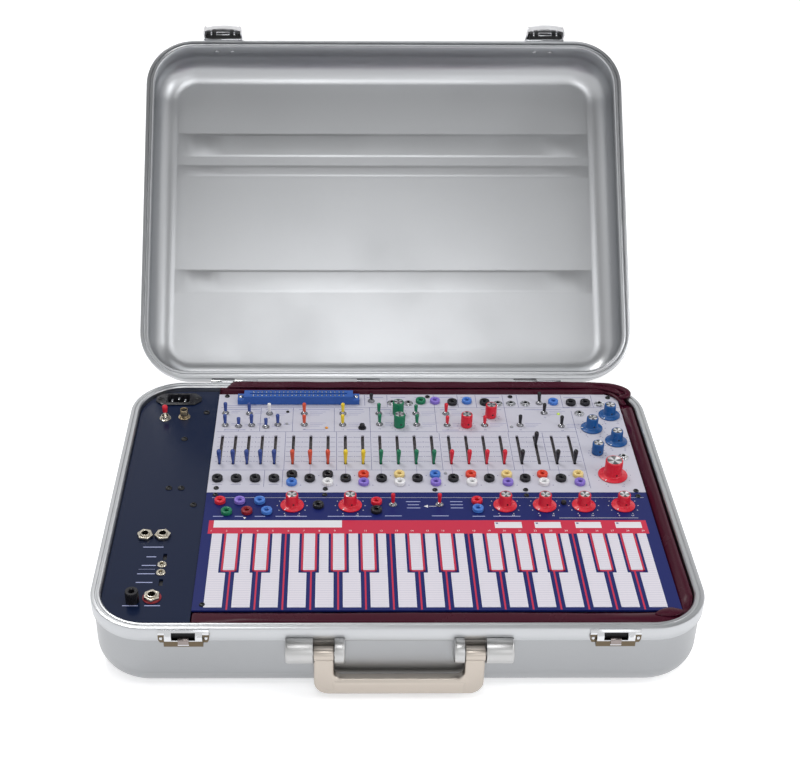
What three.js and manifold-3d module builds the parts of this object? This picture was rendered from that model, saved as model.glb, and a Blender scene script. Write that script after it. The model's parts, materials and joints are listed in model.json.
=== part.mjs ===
// Modular synthesizer built into an open aluminium suitcase, in millimetres.
// X runs to the player's right, Y to the back and Z up; the origin is the centre of the flat underside.
import * as THREE from 'three';
import { mergeVertices } from 'three/addons/utils/BufferGeometryUtils.js';
import Module from 'manifold-3d';

const wasm = await Module();
wasm.setup();

// Case sizes
const caseWidth = 546;
const caseDepth = 397;
const trayHeight = 76;
const lidHeight = 62;
const sheetThickness = 1.6;
const cornerRadius = 53.6;
const edgeRadius = 28;
const rimWidth = 9;
const rimOverhang = 2.5;
const rimBandHeight = 14;
const rimLedge = 6;
const rimChamfer = 1.2;
const cornerSteps = 8;
const edgeSteps = 5;

// Lid hinge and ribs
const openAngle = 132.2 * Math.PI / 180;
const hingeBehindRim = 4.9;
const hingeBelowRim = 3.3;
const closedGap = 0.4;
const knuckleRadius = 3;
const hingeLength = 51;
const hingeLeafThickness = 1.2;
const hingeLeafHeight = 13;
const hingeEndClear = 106;
const middleHingeShift = -6.5;
const ribHeight = 1.2;
const ribWidth = 26;
const ribEndClear = 38;
const ribLength = caseWidth - 2 * ribEndClear;
const ribPlaceShares = [0.275, 0.625, 0.7];

// Clearances
const seatGap = 0.3;
const cutOverrun = 1;

// Panels, held clear of the case's outline by a width on each side
const panelLeftClear = 91.1;
const panelRightClear = 23.1;
const panelRearClear = 17.1;
const panelFrontClear = 29.5;
const panelWidth = caseWidth - panelLeftClear - panelRightClear;
const bothPanelsDepth = caseDepth - panelRearClear - panelFrontClear;
const upperPanelShare = 0.50742;
const upperPanelDepth = bothPanelsDepth * upperPanelShare;
const keyboardPanelDepth = bothPanelsDepth - upperPanelDepth;
const panelThickness = 2;
const panelBelowRim = 5;
const panelCornerTrim = 4;
const sidePanelDrop = 1;

// Sliders
const sliderSlotShares = [0.26434, 0.55905];
const sliderSlotY = upperPanelDepth * sliderSlotShares[0];
const sliderSlotLength = upperPanelDepth * sliderSlotShares[1] - sliderSlotY;
const sliderSlotWidth = 2.6;
const sliderStemLength = 4;
const sliderStemDepth = 5;
const sliderCapWidth = 4.6;
const sliderCapLength = 5.4;
const sliderCapHeight = 16;
const sliderCapFootShare = 0.5;
const sliderCapSides = 4;
const narrowSliderShares = [0.020611, 0.032075];
const wideSliderShares = [0.191756, 0.041385];
const narrowSliderStart = panelWidth * narrowSliderShares[0];
const narrowSliderPitch = panelWidth * narrowSliderShares[1];
const sliderStart = panelWidth * wideSliderShares[0];
const sliderPitch = panelWidth * wideSliderShares[1];
const sliderGroups = [
  { name: 'blue', count: 5, colour: 0x2f6fc4 },
  { name: 'orange', count: 3, colour: 0xe08a2c },
  { name: 'yellow', count: 2, colour: 0xe8c832 },
  { name: 'green', count: 4, colour: 0x1f8a5a },
  { name: 'red', count: 4, colour: 0xd8324a },
  { name: 'black', count: 4, colour: 0x1c1c20 },
];
const raisedSlider = 'slider_black_2';
const raisedSliderShare = 0.6145;

// Knobs
const shaftRadius = 3;
const shaftDepth = 6;
const knobSides = 16;
const smallKnob = { body: 6.1, skirt: 11.4, height: 14, skirtHeight: 2.2 };
const masterKnob = { body: 8.7, skirt: 14.6, height: 18.5, skirtHeight: 2.6 };
const plainKnob = { body: 6, skirt: 0, height: 15, skirtHeight: 0 };
const shortKnob = { body: 6, skirt: 0, height: 13, skirtHeight: 0 };
const knobEdge = 0.8;

// Knob centres as shares of the width and depth of the panel that carries them
const upperKnobs = [
  { name: 'knob_green_1', form: plainKnob, colour: 0x1f8a5a, placeShares: [0.4468, 0.7918] },
  { name: 'knob_green_2', form: plainKnob, colour: 0x1f8a5a, placeShares: [0.448, 0.6575] },
  { name: 'knob_red_1', form: plainKnob, colour: 0xd8324a, placeShares: [0.6115, 0.6575] },
  { name: 'knob_red_2', form: plainKnob, colour: 0xd8324a, placeShares: [0.6746, 0.7587] },
  { name: 'knob_blue_1', form: smallKnob, colour: 0x2f6fc4, placeShares: [0.968, 0.7706] },
  { name: 'knob_blue_2', form: smallKnob, colour: 0x2f6fc4, placeShares: [0.9157, 0.632] },
  { name: 'knob_blue_3', form: smallKnob, colour: 0x2f6fc4, placeShares: [0.966, 0.495] },
  { name: 'knob_blue_4', form: shortKnob, colour: 0x2f6fc4, placeShares: [0.9134, 0.378] },
  { name: 'knob_master', form: masterKnob, colour: 0xc8233c, placeShares: [0.9349, 0.161] },
];
const keyboardKnobNames = ['portamento', 'transpose', 'octave', 'preset_1', 'preset_2', 'preset_3'];
const keyboardKnobShares = [0.1955, 0.3256, 0.6735, 0.7624, 0.8504, 0.9393];
const keyboardKnobRowShare = 0.876;

// Small toggles, with their places as shares
const toggleBushRadius = 3.6;
const toggleBushHeight = 3;
const toggleBatRadius = 1.2;
const toggleBatTop = 1.6;
const toggleBatHeight = 11;
const toggleSides = 6;
const toggleLean = 12 * Math.PI / 180;
const upperToggleShares = [
  [0.0211, 0.791], [0.0236, 0.661], [0.0565, 0.652], [0.0797, 0.786], [0.0878, 0.661],
  [0.123, 0.645], [0.1517, 0.667], [0.1292, 0.786], [0.2151, 0.786], [0.216, 0.667],
  [0.3103, 0.786], [0.3096, 0.667], [0.3814, 0.924], [0.399, 0.786], [0.3997, 0.672],
  [0.4905, 0.786], [0.4905, 0.667], [0.5648, 0.786], [0.5646, 0.662], [0.6561, 0.662],
  [0.8013, 0.9], [0.808, 0.792], [0.7425, 0.662], [0.8432, 0.653],
];
const keyboardToggleShares = [[0.4217, 0.887], [0.5262, 0.887]];

// Push button
const buttonRadius = 2.8;
const buttonHeight = 5;
const buttonPlaceShares = [0.3571, 0.634];
const buttonCollarWidth = 1;
const buttonCollarHeight = 1.6;

// Patch jacks and screws standing on the panels
const jackRadius = 5.4;
const jackHeight = 4;
const jackSides = 8;
const miniJackRadius = 5.2;
const miniJackHeight = 2.4;
const screwRadius = 2.6;
const screwHeight = 1.5;
const jackPairSpread = 6.6;
const jackRowShare = 0.12036;
const firstJackPitchShare = 0.043423;
const firstJackCount = 4;
const jackColumnCount = 17;
const topJackShares = [
  [0.505, 0.915], [0.5407, 0.915], [0.5836, 0.9], [0.6204, 0.915],
  [0.6644, 0.9], [0.8363, 0.905], [0.88, 0.896], [0.9157, 0.896],
];
const miniJackShares = [
  [0.4331, 0.902], [0.4736, 0.898], [0.6975, 0.895], [0.7302, 0.895],
  [0.7661, 0.895], [0.8951, 0.786], [0.9509, 0.89], [0.972, 0.336],
];
const upperScrewShares = [
  [0.0201, 0.975], [0.5234, 0.975], [0.7316, 0.975], [0.977, 0.962], [0.0204, 0.035],
  [0.2694, 0.03], [0.5195, 0.024], [0.7265, 0.024], [0.978, 0.022],
];
const keyboardScrewShares = [
  [0.0204, 0.975], [0.2682, 0.975], [0.726, 0.972], [0.979, 0.966], [0.0206, 0.046],
];
const keyboardJackShares = [
  [0.0329, 0.911], [0.0771, 0.911], [0.1223, 0.911], [0.05, 0.813], [0.0952, 0.817], [0.1394, 0.817],
  [0.2541, 0.87], [0.3847, 0.902], [0.384, 0.824], [0.6112, 0.91], [0.6112, 0.836], [0.8059, 0.896],
];

// Touch keys
const keyWhiteCount = 17;
const keyLeftClear = 10.15;
const keyRightClear = 12.25;
const keyGapWidth = 8.3;
const keyPitch = (panelWidth - keyLeftClear - keyRightClear + keyGapWidth) / keyWhiteCount;
const keyFrontClear = 3.7;
const keyRearShare = 0.62283;
const keyRearDepth = keyboardPanelDepth * keyRearShare;
const keyHeight = 0.5;
const sharpWidth = 10.5;
const sharpFrontShare = 0.31634;
const sharpFrontDepth = keyboardPanelDepth * sharpFrontShare;
const sharpClearWidth = 4.1;
const octaveWhiteCount = 7;
const lowerWhiteCount = 3;
const sharpShiftShares = [0, -0.057, 0.106, 0, -0.09, 0.02, 0.142];

// Connector for program cards
const connectorLength = 118;
const connectorDepth = 13;
const connectorHeight = 10;
const connectorEar = 6.5;
const connectorEarHeight = 3.5;
const connectorPlaceShares = [0.2, 0.9214];
const connectorSlotWidth = 1.8;
const connectorSlotDepth = 6;

// Side panel fittings, placed as shares of the plate's width from the case's left edge
// and of the case's depth from its centre
const inletWidth = 28;
const inletDepth = 20;
const inletFlange = 49;
const inletFlangeDepth = 22;
const inletFlangeTip = 8;
const inletFlangeHeight = 2;
const inletBodyDepth = 24;
const inletRecessDepth = 15;
const inletWall = 2;
const inletPinWidth = 2;
const inletPinLength = 4;
const inletPinPitch = 7;
const inletPlaceShares = [0.5262, 0.4328];
const switchPlaceShares = [0.404, 0.3428];
const phonoPlaceShares = [0.6233, 0.348];
const largeJackShares = [[0.4249, -0.162], [0.6071, -0.162], [0.5993, -0.3805]];
const postPlaceShares = [0.4159, -0.392];
const sideMiniShares = [[0.6473, -0.2655], [0.6485, -0.296]];
const sideScrewShares = [
  [0.8732, 0.365], [0.6713, 0.241], [0.5844, 0.026], [0.7192, 0.026], [0.8774, -0.041],
];
const largeJackRadius = 6.8;
const sideMiniRadius = 4.3;
const largeJackHeight = 5;
const largeJackBore = 3.25;
const largeJackBoreDepth = 11;
const largeJackBarrel = 5;
const phonoRadius = 4.4;
const phonoHeight = 10;
const postRadius = 6;
const postHeight = 12;
const switchBushRadius = 3.2;
const switchBushHeight = 5;
const switchBatRadius = 1.7;
const switchBatTop = 3;
const switchBatHeight = 13;
const switchThrow = 24 * Math.PI / 180;

// Latches
const latchEndClear = 87;
const latchWidth = 44;
const keeperHeight = 18;
const keeperThickness = 1.8;
const keeperHookWidth = 22;
const keeperHookReach = 3.6;
const keeperHookHeight = 5;
const latchPlateThickness = 1.6;
const latchPlateHeight = 38;
const leverDepth = 13;
const leverSheet = 2;
const leverBelowRim = 7;
const leverTop = 34;
const leverPivotRadius = 2.2;
const leverBulge = 3;

// Carrying handle
const handleSpread = 65.5;
const handleArmWidth = 17.5;
const handleArmThickness = 9;
const handlePivotBelowRim = 23;
const handlePivotZ = trayHeight - handlePivotBelowRim;
const handlePivotOut = 8;
const handleDrop = 35.6;
const handleGripHeight = 18;
const handleCorner = 13;
const handleBevel = 2.5;
const handleBevelSteps = 2;
const handleCurveSteps = 4;
const handleEyeRadius = 6.5;
const handlePinRadius = 2.6;
const bracketInner = 47;
const bracketOuter = 99;
const bracketHeight = 26;
const bracketReach = 15;
const bracketSlot = 19;
const bracketSteps = 10;

// Padded liner along the rear, right and front edges
const linerBottom = 46;
const linerAbovePanel = 0.8;
const linerSoftEdge = 2;

// Parts inside
const chassisEndClear = 38.5;
const chassisLeftClear = 5.9;
const chassisRightClear = 13.9;
const chassisSheet = 1.5;
const boardThickness = 1.6;
const upperBoardBelow = 21;
const keyboardBoardBelow = 14;
const supplyLength = 120;
const supplyDepth = 60;
const supplyHeight = 35;

// Colours and finishes
const aluminium = { colour: 0xc4c8ca, roughness: 0.38, metalness: 0.9 };
const chrome = { colour: 0xd0d0d0, roughness: 0.2, metalness: 1 };
const warmSilver = { colour: 0xb9b2a8, roughness: 0.4, metalness: 0.85 };
const upperFinish = { colour: 0xd9dae8, roughness: 0.45, metalness: 0.1 };
const navyFinish = { colour: 0x232b52, roughness: 0.4, metalness: 0.2 };
const darkNavy = { colour: 0x1b2238, roughness: 0.35, metalness: 0.2 };
const maroon = { colour: 0x5a1f2c, roughness: 0.6, metalness: 0 };
const connectorBlue = { colour: 0x2b62b8, roughness: 0.45, metalness: 0 };
const switchRed = { colour: 0xc81e28, roughness: 0.4, metalness: 0 };
const blackPlastic = { colour: 0x141416, roughness: 0.45, metalness: 0 };
const boardGreen = { colour: 0x2f6b46, roughness: 0.6, metalness: 0 };

const rimTop = trayHeight;
const panelTop = rimTop - panelBelowRim;
const panelBottom = panelTop - panelThickness;
const panelLeft = panelLeftClear - caseWidth / 2;
const panelRight = panelLeft + panelWidth;
const panelRearY = caseDepth / 2 - panelRearClear;
const panelSplitY = panelRearY - upperPanelDepth;
const keyboardFrontY = panelSplitY - keyboardPanelDepth;
const frontWallY = -caseDepth / 2 + rimOverhang;
const hingeY = caseDepth / 2 + hingeBehindRim;
const hingeZ = rimTop - hingeBelowRim;

const synthesizer = new THREE.Group();
const lidGroup = new THREE.Group();
lidGroup.position.set(0, hingeY, hingeZ);
lidGroup.rotation.x = -openAngle;
synthesizer.add(lidGroup);

function toSolid(geometry) {
  const bare = geometry.clone();
  bare.deleteAttribute('normal');
  bare.deleteAttribute('uv');
  const merged = mergeVertices(bare.index ? bare.toNonIndexed() : bare);
  const mesh = new wasm.Mesh({
    numProp: 3,
    vertProperties: new Float32Array(merged.attributes.position.array),
    triVerts: new Uint32Array(merged.index.array),
  });
  mesh.merge();
  return new wasm.Manifold(mesh);
}

function toGeometry(solid) {
  const mesh = solid.getMesh();
  const geometry = new THREE.BufferGeometry();
  geometry.setAttribute('position', new THREE.BufferAttribute(new Float32Array(mesh.vertProperties), 3));
  geometry.setIndex(new THREE.BufferAttribute(new Uint32Array(mesh.triVerts), 1));
  geometry.computeVertexNormals();
  return geometry;
}

function join(solids) {
  return solids.reduce((whole, piece) => whole.add(piece));
}

function cut(whole, pieces) {
  return pieces.reduce((rest, piece) => rest.subtract(piece), whole);
}

function addPiece(group, name, solid, finish) {
  const material = new THREE.MeshStandardMaterial({
    color: finish.colour,
    roughness: finish.roughness,
    metalness: finish.metalness,
  });
  const geometry = solid.isBufferGeometry ? solid : toGeometry(solid);
  const mesh = new THREE.Mesh(geometry, material);
  mesh.name = name;
  group.add(mesh);
  return mesh;
}

function block(low, high) {
  const size = high.map((value, index) => value - low[index]);
  const geometry = new THREE.BoxGeometry(...size);
  geometry.translate(...low.map((value, index) => value + size[index] / 2));
  return toSolid(geometry);
}

function post(radius, bottom, top, x, y, sides = jackSides, topRadius = radius) {
  const geometry = new THREE.CylinderGeometry(topRadius, radius, top - bottom, sides);
  geometry.rotateX(Math.PI / 2);
  geometry.translate(x, y, (top + bottom) / 2);
  return toSolid(geometry);
}

// A round bar along X
function bar(radius, left, right, y, z, sides = jackSides) {
  const geometry = new THREE.CylinderGeometry(radius, radius, right - left, sides);
  geometry.rotateZ(Math.PI / 2);
  geometry.translate((left + right) / 2, y, z);
  return toSolid(geometry);
}

// A rounded rectangle, drawn inwards from the case's outline by the inset
function caseRing(inset) {
  const radius = cornerRadius - inset;
  const halfWidth = caseWidth / 2 - inset - radius;
  const halfDepth = caseDepth / 2 - inset - radius;
  const corners = [
    [halfWidth, halfDepth], [-halfWidth, halfDepth],
    [-halfWidth, -halfDepth], [halfWidth, -halfDepth],
  ];
  const points = [];
  corners.forEach(([x, y], quarter) => {
    for (let step = 0; step <= cornerSteps; step += 1) {
      const angle = (quarter + step / cornerSteps) * Math.PI / 2;
      points.push(new THREE.Vector2(x + radius * Math.cos(angle), y + radius * Math.sin(angle)));
    }
  });
  return points;
}

// A shell lofted through rings of the case's outline, closed by a flat at both ends
function shellThrough(profile) {
  const positions = [];
  const index = [];
  const rings = profile.map(([inset, z]) => caseRing(inset).map((point) => [point.x, point.y, z]));
  const count = rings[0].length;
  rings.forEach((ring) => ring.forEach((point) => positions.push(...point)));
  for (let ring = 0; ring < rings.length - 1; ring += 1) {
    for (let step = 0; step < count; step += 1) {
      const next = (step + 1) % count;
      const a = ring * count + step;
      const b = ring * count + next;
      index.push(a, b, b + count, a, b + count, a + count);
    }
  }
  const capEnd = (ringStart, z, reversed) => {
    const centre = positions.length / 3;
    positions.push(0, 0, z);
    for (let step = 0; step < count; step += 1) {
      const a = ringStart + step;
      const b = ringStart + (step + 1) % count;
      index.push(...(reversed ? [centre, b, a] : [centre, a, b]));
    }
  };
  capEnd(0, profile[0][1], true);
  capEnd((rings.length - 1) * count, profile[profile.length - 1][1], false);
  const geometry = new THREE.BufferGeometry();
  geometry.setAttribute('position', new THREE.BufferAttribute(new Float32Array(positions), 3));
  geometry.setIndex(index);
  return toSolid(geometry);
}

// One half of the case, standing on its flat face with its rim upwards
function caseHalf(height) {
  const profile = [];
  for (let step = 0; step <= edgeSteps; step += 1) {
    const angle = step / edgeSteps * Math.PI / 2;
    const inset = rimOverhang + edgeRadius * (1 - Math.sin(angle));
    profile.push([inset, edgeRadius * (1 - Math.cos(angle))]);
  }
  profile.push([rimOverhang, height - rimBandHeight]);
  profile.push([0, height - rimBandHeight + rimChamfer]);
  profile.push([0, height - rimChamfer]);
  profile.push([rimChamfer, height]);
  profile.push([rimWidth, height]);
  profile.push([rimWidth, height - rimLedge]);
  profile.push([rimOverhang + sheetThickness, height - rimLedge]);
  const innerRadius = edgeRadius - sheetThickness;
  for (let step = edgeSteps; step >= 0; step -= 1) {
    const angle = step / edgeSteps * Math.PI / 2;
    const inset = rimOverhang + sheetThickness + innerRadius * (1 - Math.sin(angle));
    profile.push([inset, sheetThickness + innerRadius * (1 - Math.cos(angle))]);
  }
  return shellThrough(profile);
}

function outlineSlab(inset, bottom, top) {
  const shape = new THREE.Shape(caseRing(inset));
  const geometry = new THREE.ExtrudeGeometry(shape, { depth: top - bottom, bevelEnabled: false });
  geometry.translate(0, 0, bottom);
  return toSolid(geometry);
}

// Centres of the three hinges along X
function hingeCentres() {
  const reach = caseWidth / 2 - hingeEndClear;
  return [-reach, middleHingeShift, reach];
}

function addTray() {
  addPiece(synthesizer, 'case_tray', caseHalf(trayHeight), aluminium);
}

// The lid is drawn closed, with the hinge pin as its origin
function addLid() {
  const turned = caseHalf(lidHeight).rotate([180, 0, 0]);
  const rimPlane = hingeBelowRim + closedGap;
  let lid = turned.translate([0, -hingeY, rimPlane + lidHeight]);
  const floorZ = rimPlane + lidHeight - sheetThickness;
  const ribs = ribPlaceShares.map((share) => {
    const y = -hingeBehindRim - share * caseDepth;
    const low = [-ribLength / 2, y - ribWidth / 2, floorZ - ribHeight];
    return block(low, [ribLength / 2, y + ribWidth / 2, floorZ + sheetThickness / 2]);
  });
  const knuckles = hingeCentres().map((x) => lidKnuckle(x));
  lid = join([lid, ...ribs, ...knuckles]);
  addPiece(lidGroup, 'lid_shell', lid, aluminium);
}

// Barrel and leaf of the lid's half of a hinge
function lidKnuckle(x) {
  const left = x - hingeLength / 2;
  const barrel = bar(knuckleRadius, left, x - seatGap, 0, 0, knobSides);
  const rimFace = -hingeBehindRim + rimChamfer;
  const leafBottom = hingeBelowRim + closedGap;
  const right = x - seatGap;
  const armTop = leafBottom + hingeLeafThickness;
  const arm = block([left, -hingeBehindRim, leafBottom], [right, knuckleRadius, armTop]);
  const web = block([left, knuckleRadius - hingeLeafThickness, 0], [right, knuckleRadius, armTop]);
  const footRear = hingeLeafThickness - hingeBehindRim;
  const footTop = leafBottom + hingeLeafHeight - rimChamfer * 2;
  const foot = block([left, rimFace - rimChamfer * 2, leafBottom + rimChamfer], [right, footRear, footTop]);
  return join([barrel, arm, web, foot]);
}

// The tray's half of each hinge, on the rear face of the rim
function addHingeLeaves() {
  hingeCentres().forEach((x, index) => {
    const left = x - hingeLength / 2;
    const right = x + hingeLength / 2;
    const barrel = bar(knuckleRadius, x + seatGap, right, hingeY, hingeZ, knobSides);
    const faceY = caseDepth / 2 + seatGap;
    const armBottom = hingeZ - knuckleRadius;
    const leafBottom = rimTop - hingeLeafHeight;
    const leaf = block([left, faceY, leafBottom], [right, faceY + hingeLeafThickness, armBottom]);
    const neck = block(
      [x + seatGap, faceY, armBottom - seatGap], [right, faceY + hingeLeafThickness, hingeZ]);
    const arm = block([x + seatGap, faceY, armBottom], [right, hingeY, armBottom + hingeLeafThickness]);
    addPiece(synthesizer, 'hinge_leaf_' + (index + 1), join([barrel, leaf, neck, arm]), chrome);
  });
}

function panelPoint(shares, depth, frontY) {
  return [panelLeft + shares[0] * panelWidth, frontY + shares[1] * depth];
}

function upperPoint(shares) {
  return panelPoint(shares, upperPanelDepth, panelSplitY);
}

function keyboardPoint(shares) {
  return panelPoint(shares, keyboardPanelDepth, keyboardFrontY);
}

function sidePoint(shares) {
  return [shares[0] * panelLeftClear - caseWidth / 2, shares[1] * caseDepth];
}

// Every slider with its column and resting place along the slot
function sliderList() {
  const list = [];
  const raise = sliderSlotLength * raisedSliderShare;
  let column = 0;
  sliderGroups.forEach((group) => {
    for (let number = 1; number <= group.count; number += 1) {
      const narrow = group.name === 'blue';
      const start = narrow ? narrowSliderStart : sliderStart;
      const place = narrow ? number - 1 : column;
      const x = panelLeft + start + place * (narrow ? narrowSliderPitch : sliderPitch);
      const name = 'slider_' + group.name + '_' + number;
      column += narrow ? 0 : 1;
      list.push({ name, x, raise: name === raisedSlider ? raise : 0, colour: group.colour });
    }
  });
  return list;
}

const sliderRestY = panelSplitY + sliderSlotY + sliderCapLength / 2;

function toggleAt([x, y], number) {
  const bush = post(toggleBushRadius, panelTop - cutOverrun, panelTop + toggleBushHeight, x, y);
  const bat = new THREE.CylinderGeometry(toggleBatTop, toggleBatRadius, toggleBatHeight, toggleSides);
  bat.rotateX(Math.PI / 2);
  bat.translate(0, 0, toggleBatHeight / 2);
  bat.rotateX(number % 3 === 0 ? toggleLean : -toggleLean);
  bat.translate(x, y, panelTop + toggleBushHeight - toggleBatRadius);
  return [bush, toSolid(bat)];
}

function screwAt([x, y]) {
  return post(screwRadius, panelTop - cutOverrun, panelTop + screwHeight, x, y);
}

function jackAt([x, y]) {
  return post(jackRadius, panelTop - cutOverrun, panelTop + jackHeight, x, y);
}

function miniJackAt([x, y]) {
  return post(miniJackRadius, panelTop - cutOverrun, panelTop + miniJackHeight, x, y);
}

// The lower row of patch jacks: single jacks and stacked pairs by turns
function jackRow() {
  const y = panelSplitY + upperPanelDepth * jackRowShare;
  const firstPitch = panelWidth * firstJackPitchShare;
  const places = [];
  for (let number = 0; number < firstJackCount; number += 1) {
    places.push([panelLeft + narrowSliderStart + number * firstPitch, y]);
  }
  for (let column = 0; column < jackColumnCount; column += 1) {
    const x = panelLeft + sliderStart + column * sliderPitch;
    if (column % 2 === 1) {
      places.push([x, y]);
    } else {
      places.push([x, y + jackPairSpread], [x, y - jackPairSpread]);
    }
  }
  return places;
}

function shaftHole([x, y]) {
  const radius = (shaftRadius + seatGap) / Math.cos(Math.PI / knobSides);
  return post(radius, panelBottom - cutOverrun, panelTop + cutOverrun, x, y, knobSides);
}

// A panel's plate, cut off at the corners where the case's outline comes close
function trimmedPlate(frontY, rearY) {
  const plate = block([panelLeft, frontY, panelBottom], [panelRight, rearY, panelTop]);
  const room = outlineSlab(rimWidth + panelCornerTrim, panelBottom - cutOverrun, panelTop + cutOverrun);
  return plate.intersect(room);
}

function addUpperPanel() {
  const trimmed = trimmedPlate(panelSplitY + seatGap / 2, panelRearY);
  const slots = sliderList().map((slider) => {
    const low = [slider.x - sliderSlotWidth / 2, panelSplitY + sliderSlotY, panelBottom - cutOverrun];
    const high = [slider.x + sliderSlotWidth / 2, low[1] + sliderSlotLength, panelTop + cutOverrun];
    return block(low, high);
  });
  const shaftHoles = upperKnobs.map((knob) => shaftHole(upperPoint(knob.placeShares)));
  const [buttonX, buttonY] = upperPoint(buttonPlaceShares);
  const holeRadius = buttonRadius + seatGap;
  const buttonHole = post(
    holeRadius, panelBottom - cutOverrun, panelTop + buttonHeight, buttonX, buttonY, knobSides);
  const collarTop = panelTop + buttonCollarHeight;
  const collar = post(
    holeRadius + buttonCollarWidth, panelBottom, collarTop, buttonX, buttonY, knobSides);
  const fittings = [
    ...jackRow().map(jackAt),
    ...topJackShares.map(upperPoint).map(jackAt),
    ...miniJackShares.map(upperPoint).map(miniJackAt),
    ...upperScrewShares.map(upperPoint).map(screwAt),
    ...upperToggleShares.map(upperPoint).flatMap(toggleAt),
    collar,
  ];
  const whole = cut(join([trimmed, ...fittings]), [...slots, ...shaftHoles, buttonHole]);
  addPiece(synthesizer, 'upper_panel', whole, upperFinish);
}

// Key plates stand a little proud of the keyboard panel
function touchKeys() {
  const keys = [];
  const left = panelLeft + keyLeftClear;
  for (let white = 0; white < keyWhiteCount; white += 1) {
    const low = [left + white * keyPitch, keyboardFrontY + keyFrontClear, panelTop - panelThickness / 2];
    const high = [low[0] + keyPitch - keyGapWidth, keyboardFrontY + keyRearDepth, panelTop + keyHeight];
    keys.push(block(low, high));
  }
  const gaps = [];
  const sharps = [];
  for (let white = 1; white < keyWhiteCount; white += 1) {
    const inOctave = white % octaveWhiteCount;
    if (inOctave === 0 || inOctave === lowerWhiteCount) {
      continue;
    }
    const shift = sharpShiftShares[inOctave] * keyPitch;
    const x = left + white * keyPitch - keyGapWidth / 2 + shift;
    const front = keyboardFrontY + sharpFrontDepth;
    const rear = keyboardFrontY + keyRearDepth;
    const half = sharpWidth / 2;
    const wide = half + sharpClearWidth;
    const gapHigh = [x + wide, rear + cutOverrun, panelTop + keyHeight * 2];
    gaps.push(block([x - wide, front - sharpClearWidth, panelTop], gapHigh));
    const sharpLow = [x - half, front, panelTop - panelThickness / 2];
    sharps.push(block(sharpLow, [x + half, rear, panelTop + keyHeight]));
  }
  return join([cut(join(keys), gaps), ...sharps]);
}

function addKeyboardPanel() {
  const trimmed = trimmedPlate(keyboardFrontY, panelSplitY - seatGap / 2);
  const knobHoles = keyboardKnobShares.map((share) => {
    return shaftHole(keyboardPoint([share, keyboardKnobRowShare]));
  });
  const fittings = [
    ...keyboardJackShares.map(keyboardPoint).map(jackAt),
    ...keyboardScrewShares.map(keyboardPoint).map(screwAt),
    ...keyboardToggleShares.map(keyboardPoint).flatMap(toggleAt),
    touchKeys(),
  ];
  addPiece(synthesizer, 'keyboard_panel', cut(join([trimmed, ...fittings]), knobHoles), navyFinish);
}

function addSliders() {
  sliderList().forEach((slider) => {
    const footRadius = sliderCapFootShare / Math.SQRT2;
    const cap = new THREE.CylinderGeometry(1 / Math.SQRT2, footRadius, sliderCapHeight, sliderCapSides);
    cap.rotateX(Math.PI / 2);
    cap.rotateZ(Math.PI / 4);
    cap.scale(sliderCapWidth, sliderCapLength, 1);
    cap.translate(0, 0, panelTop + seatGap + sliderCapHeight / 2);
    const half = sliderSlotWidth / 2 - seatGap;
    const stemLow = [-half, -sliderStemLength / 2, panelTop - sliderStemDepth];
    const stem = block(stemLow, [half, sliderStemLength / 2, panelTop + seatGap + cutOverrun]);
    const finish = { colour: slider.colour, roughness: 0.45, metalness: 0 };
    const piece = addPiece(synthesizer, slider.name, join([toSolid(cap), stem]), finish);
    piece.position.set(slider.x, sliderRestY + slider.raise, 0);
  });
}

// A knob turned about its own axis, with its shaft reaching down through the panel
function knobSolid(form) {
  const skirtTop = seatGap + form.skirtHeight;
  const points = [[0, -shaftDepth], [shaftRadius, -shaftDepth], [shaftRadius, seatGap]];
  if (form.skirt > 0) {
    points.push([form.skirt, seatGap], [form.skirt - knobEdge, skirtTop]);
    points.push([form.body, skirtTop]);
  } else {
    points.push([form.body, seatGap]);
  }
  points.push([form.body, form.height - knobEdge], [form.body - knobEdge, form.height], [0, form.height]);
  const profile = points.map(([radius, height]) => new THREE.Vector2(radius, height));
  const geometry = new THREE.LatheGeometry(profile, knobSides);
  geometry.rotateX(Math.PI / 2);
  return toSolid(geometry);
}

function addKnob(name, form, colour, [x, y]) {
  const knob = addPiece(synthesizer, name, knobSolid(form), { colour, roughness: 0.4, metalness: 0 });
  knob.position.set(x, y, panelTop);
}

function addKnobs() {
  upperKnobs.forEach((knob) => addKnob(knob.name, knob.form, knob.colour, upperPoint(knob.placeShares)));
  keyboardKnobShares.forEach((share, index) => {
    const place = keyboardPoint([share, keyboardKnobRowShare]);
    addKnob('knob_' + keyboardKnobNames[index], smallKnob, 0xd8324a, place);
  });
}

function addPushButton() {
  const button = post(buttonRadius, -sliderStemDepth, buttonHeight, 0, 0, knobSides);
  const piece = addPiece(synthesizer, 'push_button', button, blackPlastic);
  piece.position.set(...upperPoint(buttonPlaceShares), panelTop);
}

// The card connector: a slotted bar with an ear at each end
function addConnector() {
  const halfLength = connectorLength / 2;
  const halfDepth = connectorDepth / 2;
  const base = panelTop + seatGap;
  const body = block([-halfLength, -halfDepth, base], [halfLength, halfDepth, base + connectorHeight]);
  const reach = halfLength + connectorEar;
  const ears = block([-reach, -halfDepth, base], [reach, halfDepth, base + connectorEarHeight]);
  const slotHalf = halfLength - connectorEar;
  const slotLow = [-slotHalf, -connectorSlotWidth / 2, base + connectorHeight - connectorSlotDepth];
  const slot = block(slotLow, [slotHalf, connectorSlotWidth / 2, base + connectorHeight + cutOverrun]);
  const screws = [-1, 1].map((side) => {
    const x = side * (halfLength + connectorEar / 2);
    return post(screwRadius, base, base + connectorEarHeight + screwHeight, x, 0);
  });
  const whole = cut(join([body, ears, ...screws]), [slot]);
  const piece = addPiece(synthesizer, 'program_connector', whole, connectorBlue);
  const [x, y] = upperPoint(connectorPlaceShares);
  piece.position.set(x, y, 0);
}

const sideTop = panelTop - sidePanelDrop;
const sideBottom = sideTop - panelThickness;

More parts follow.
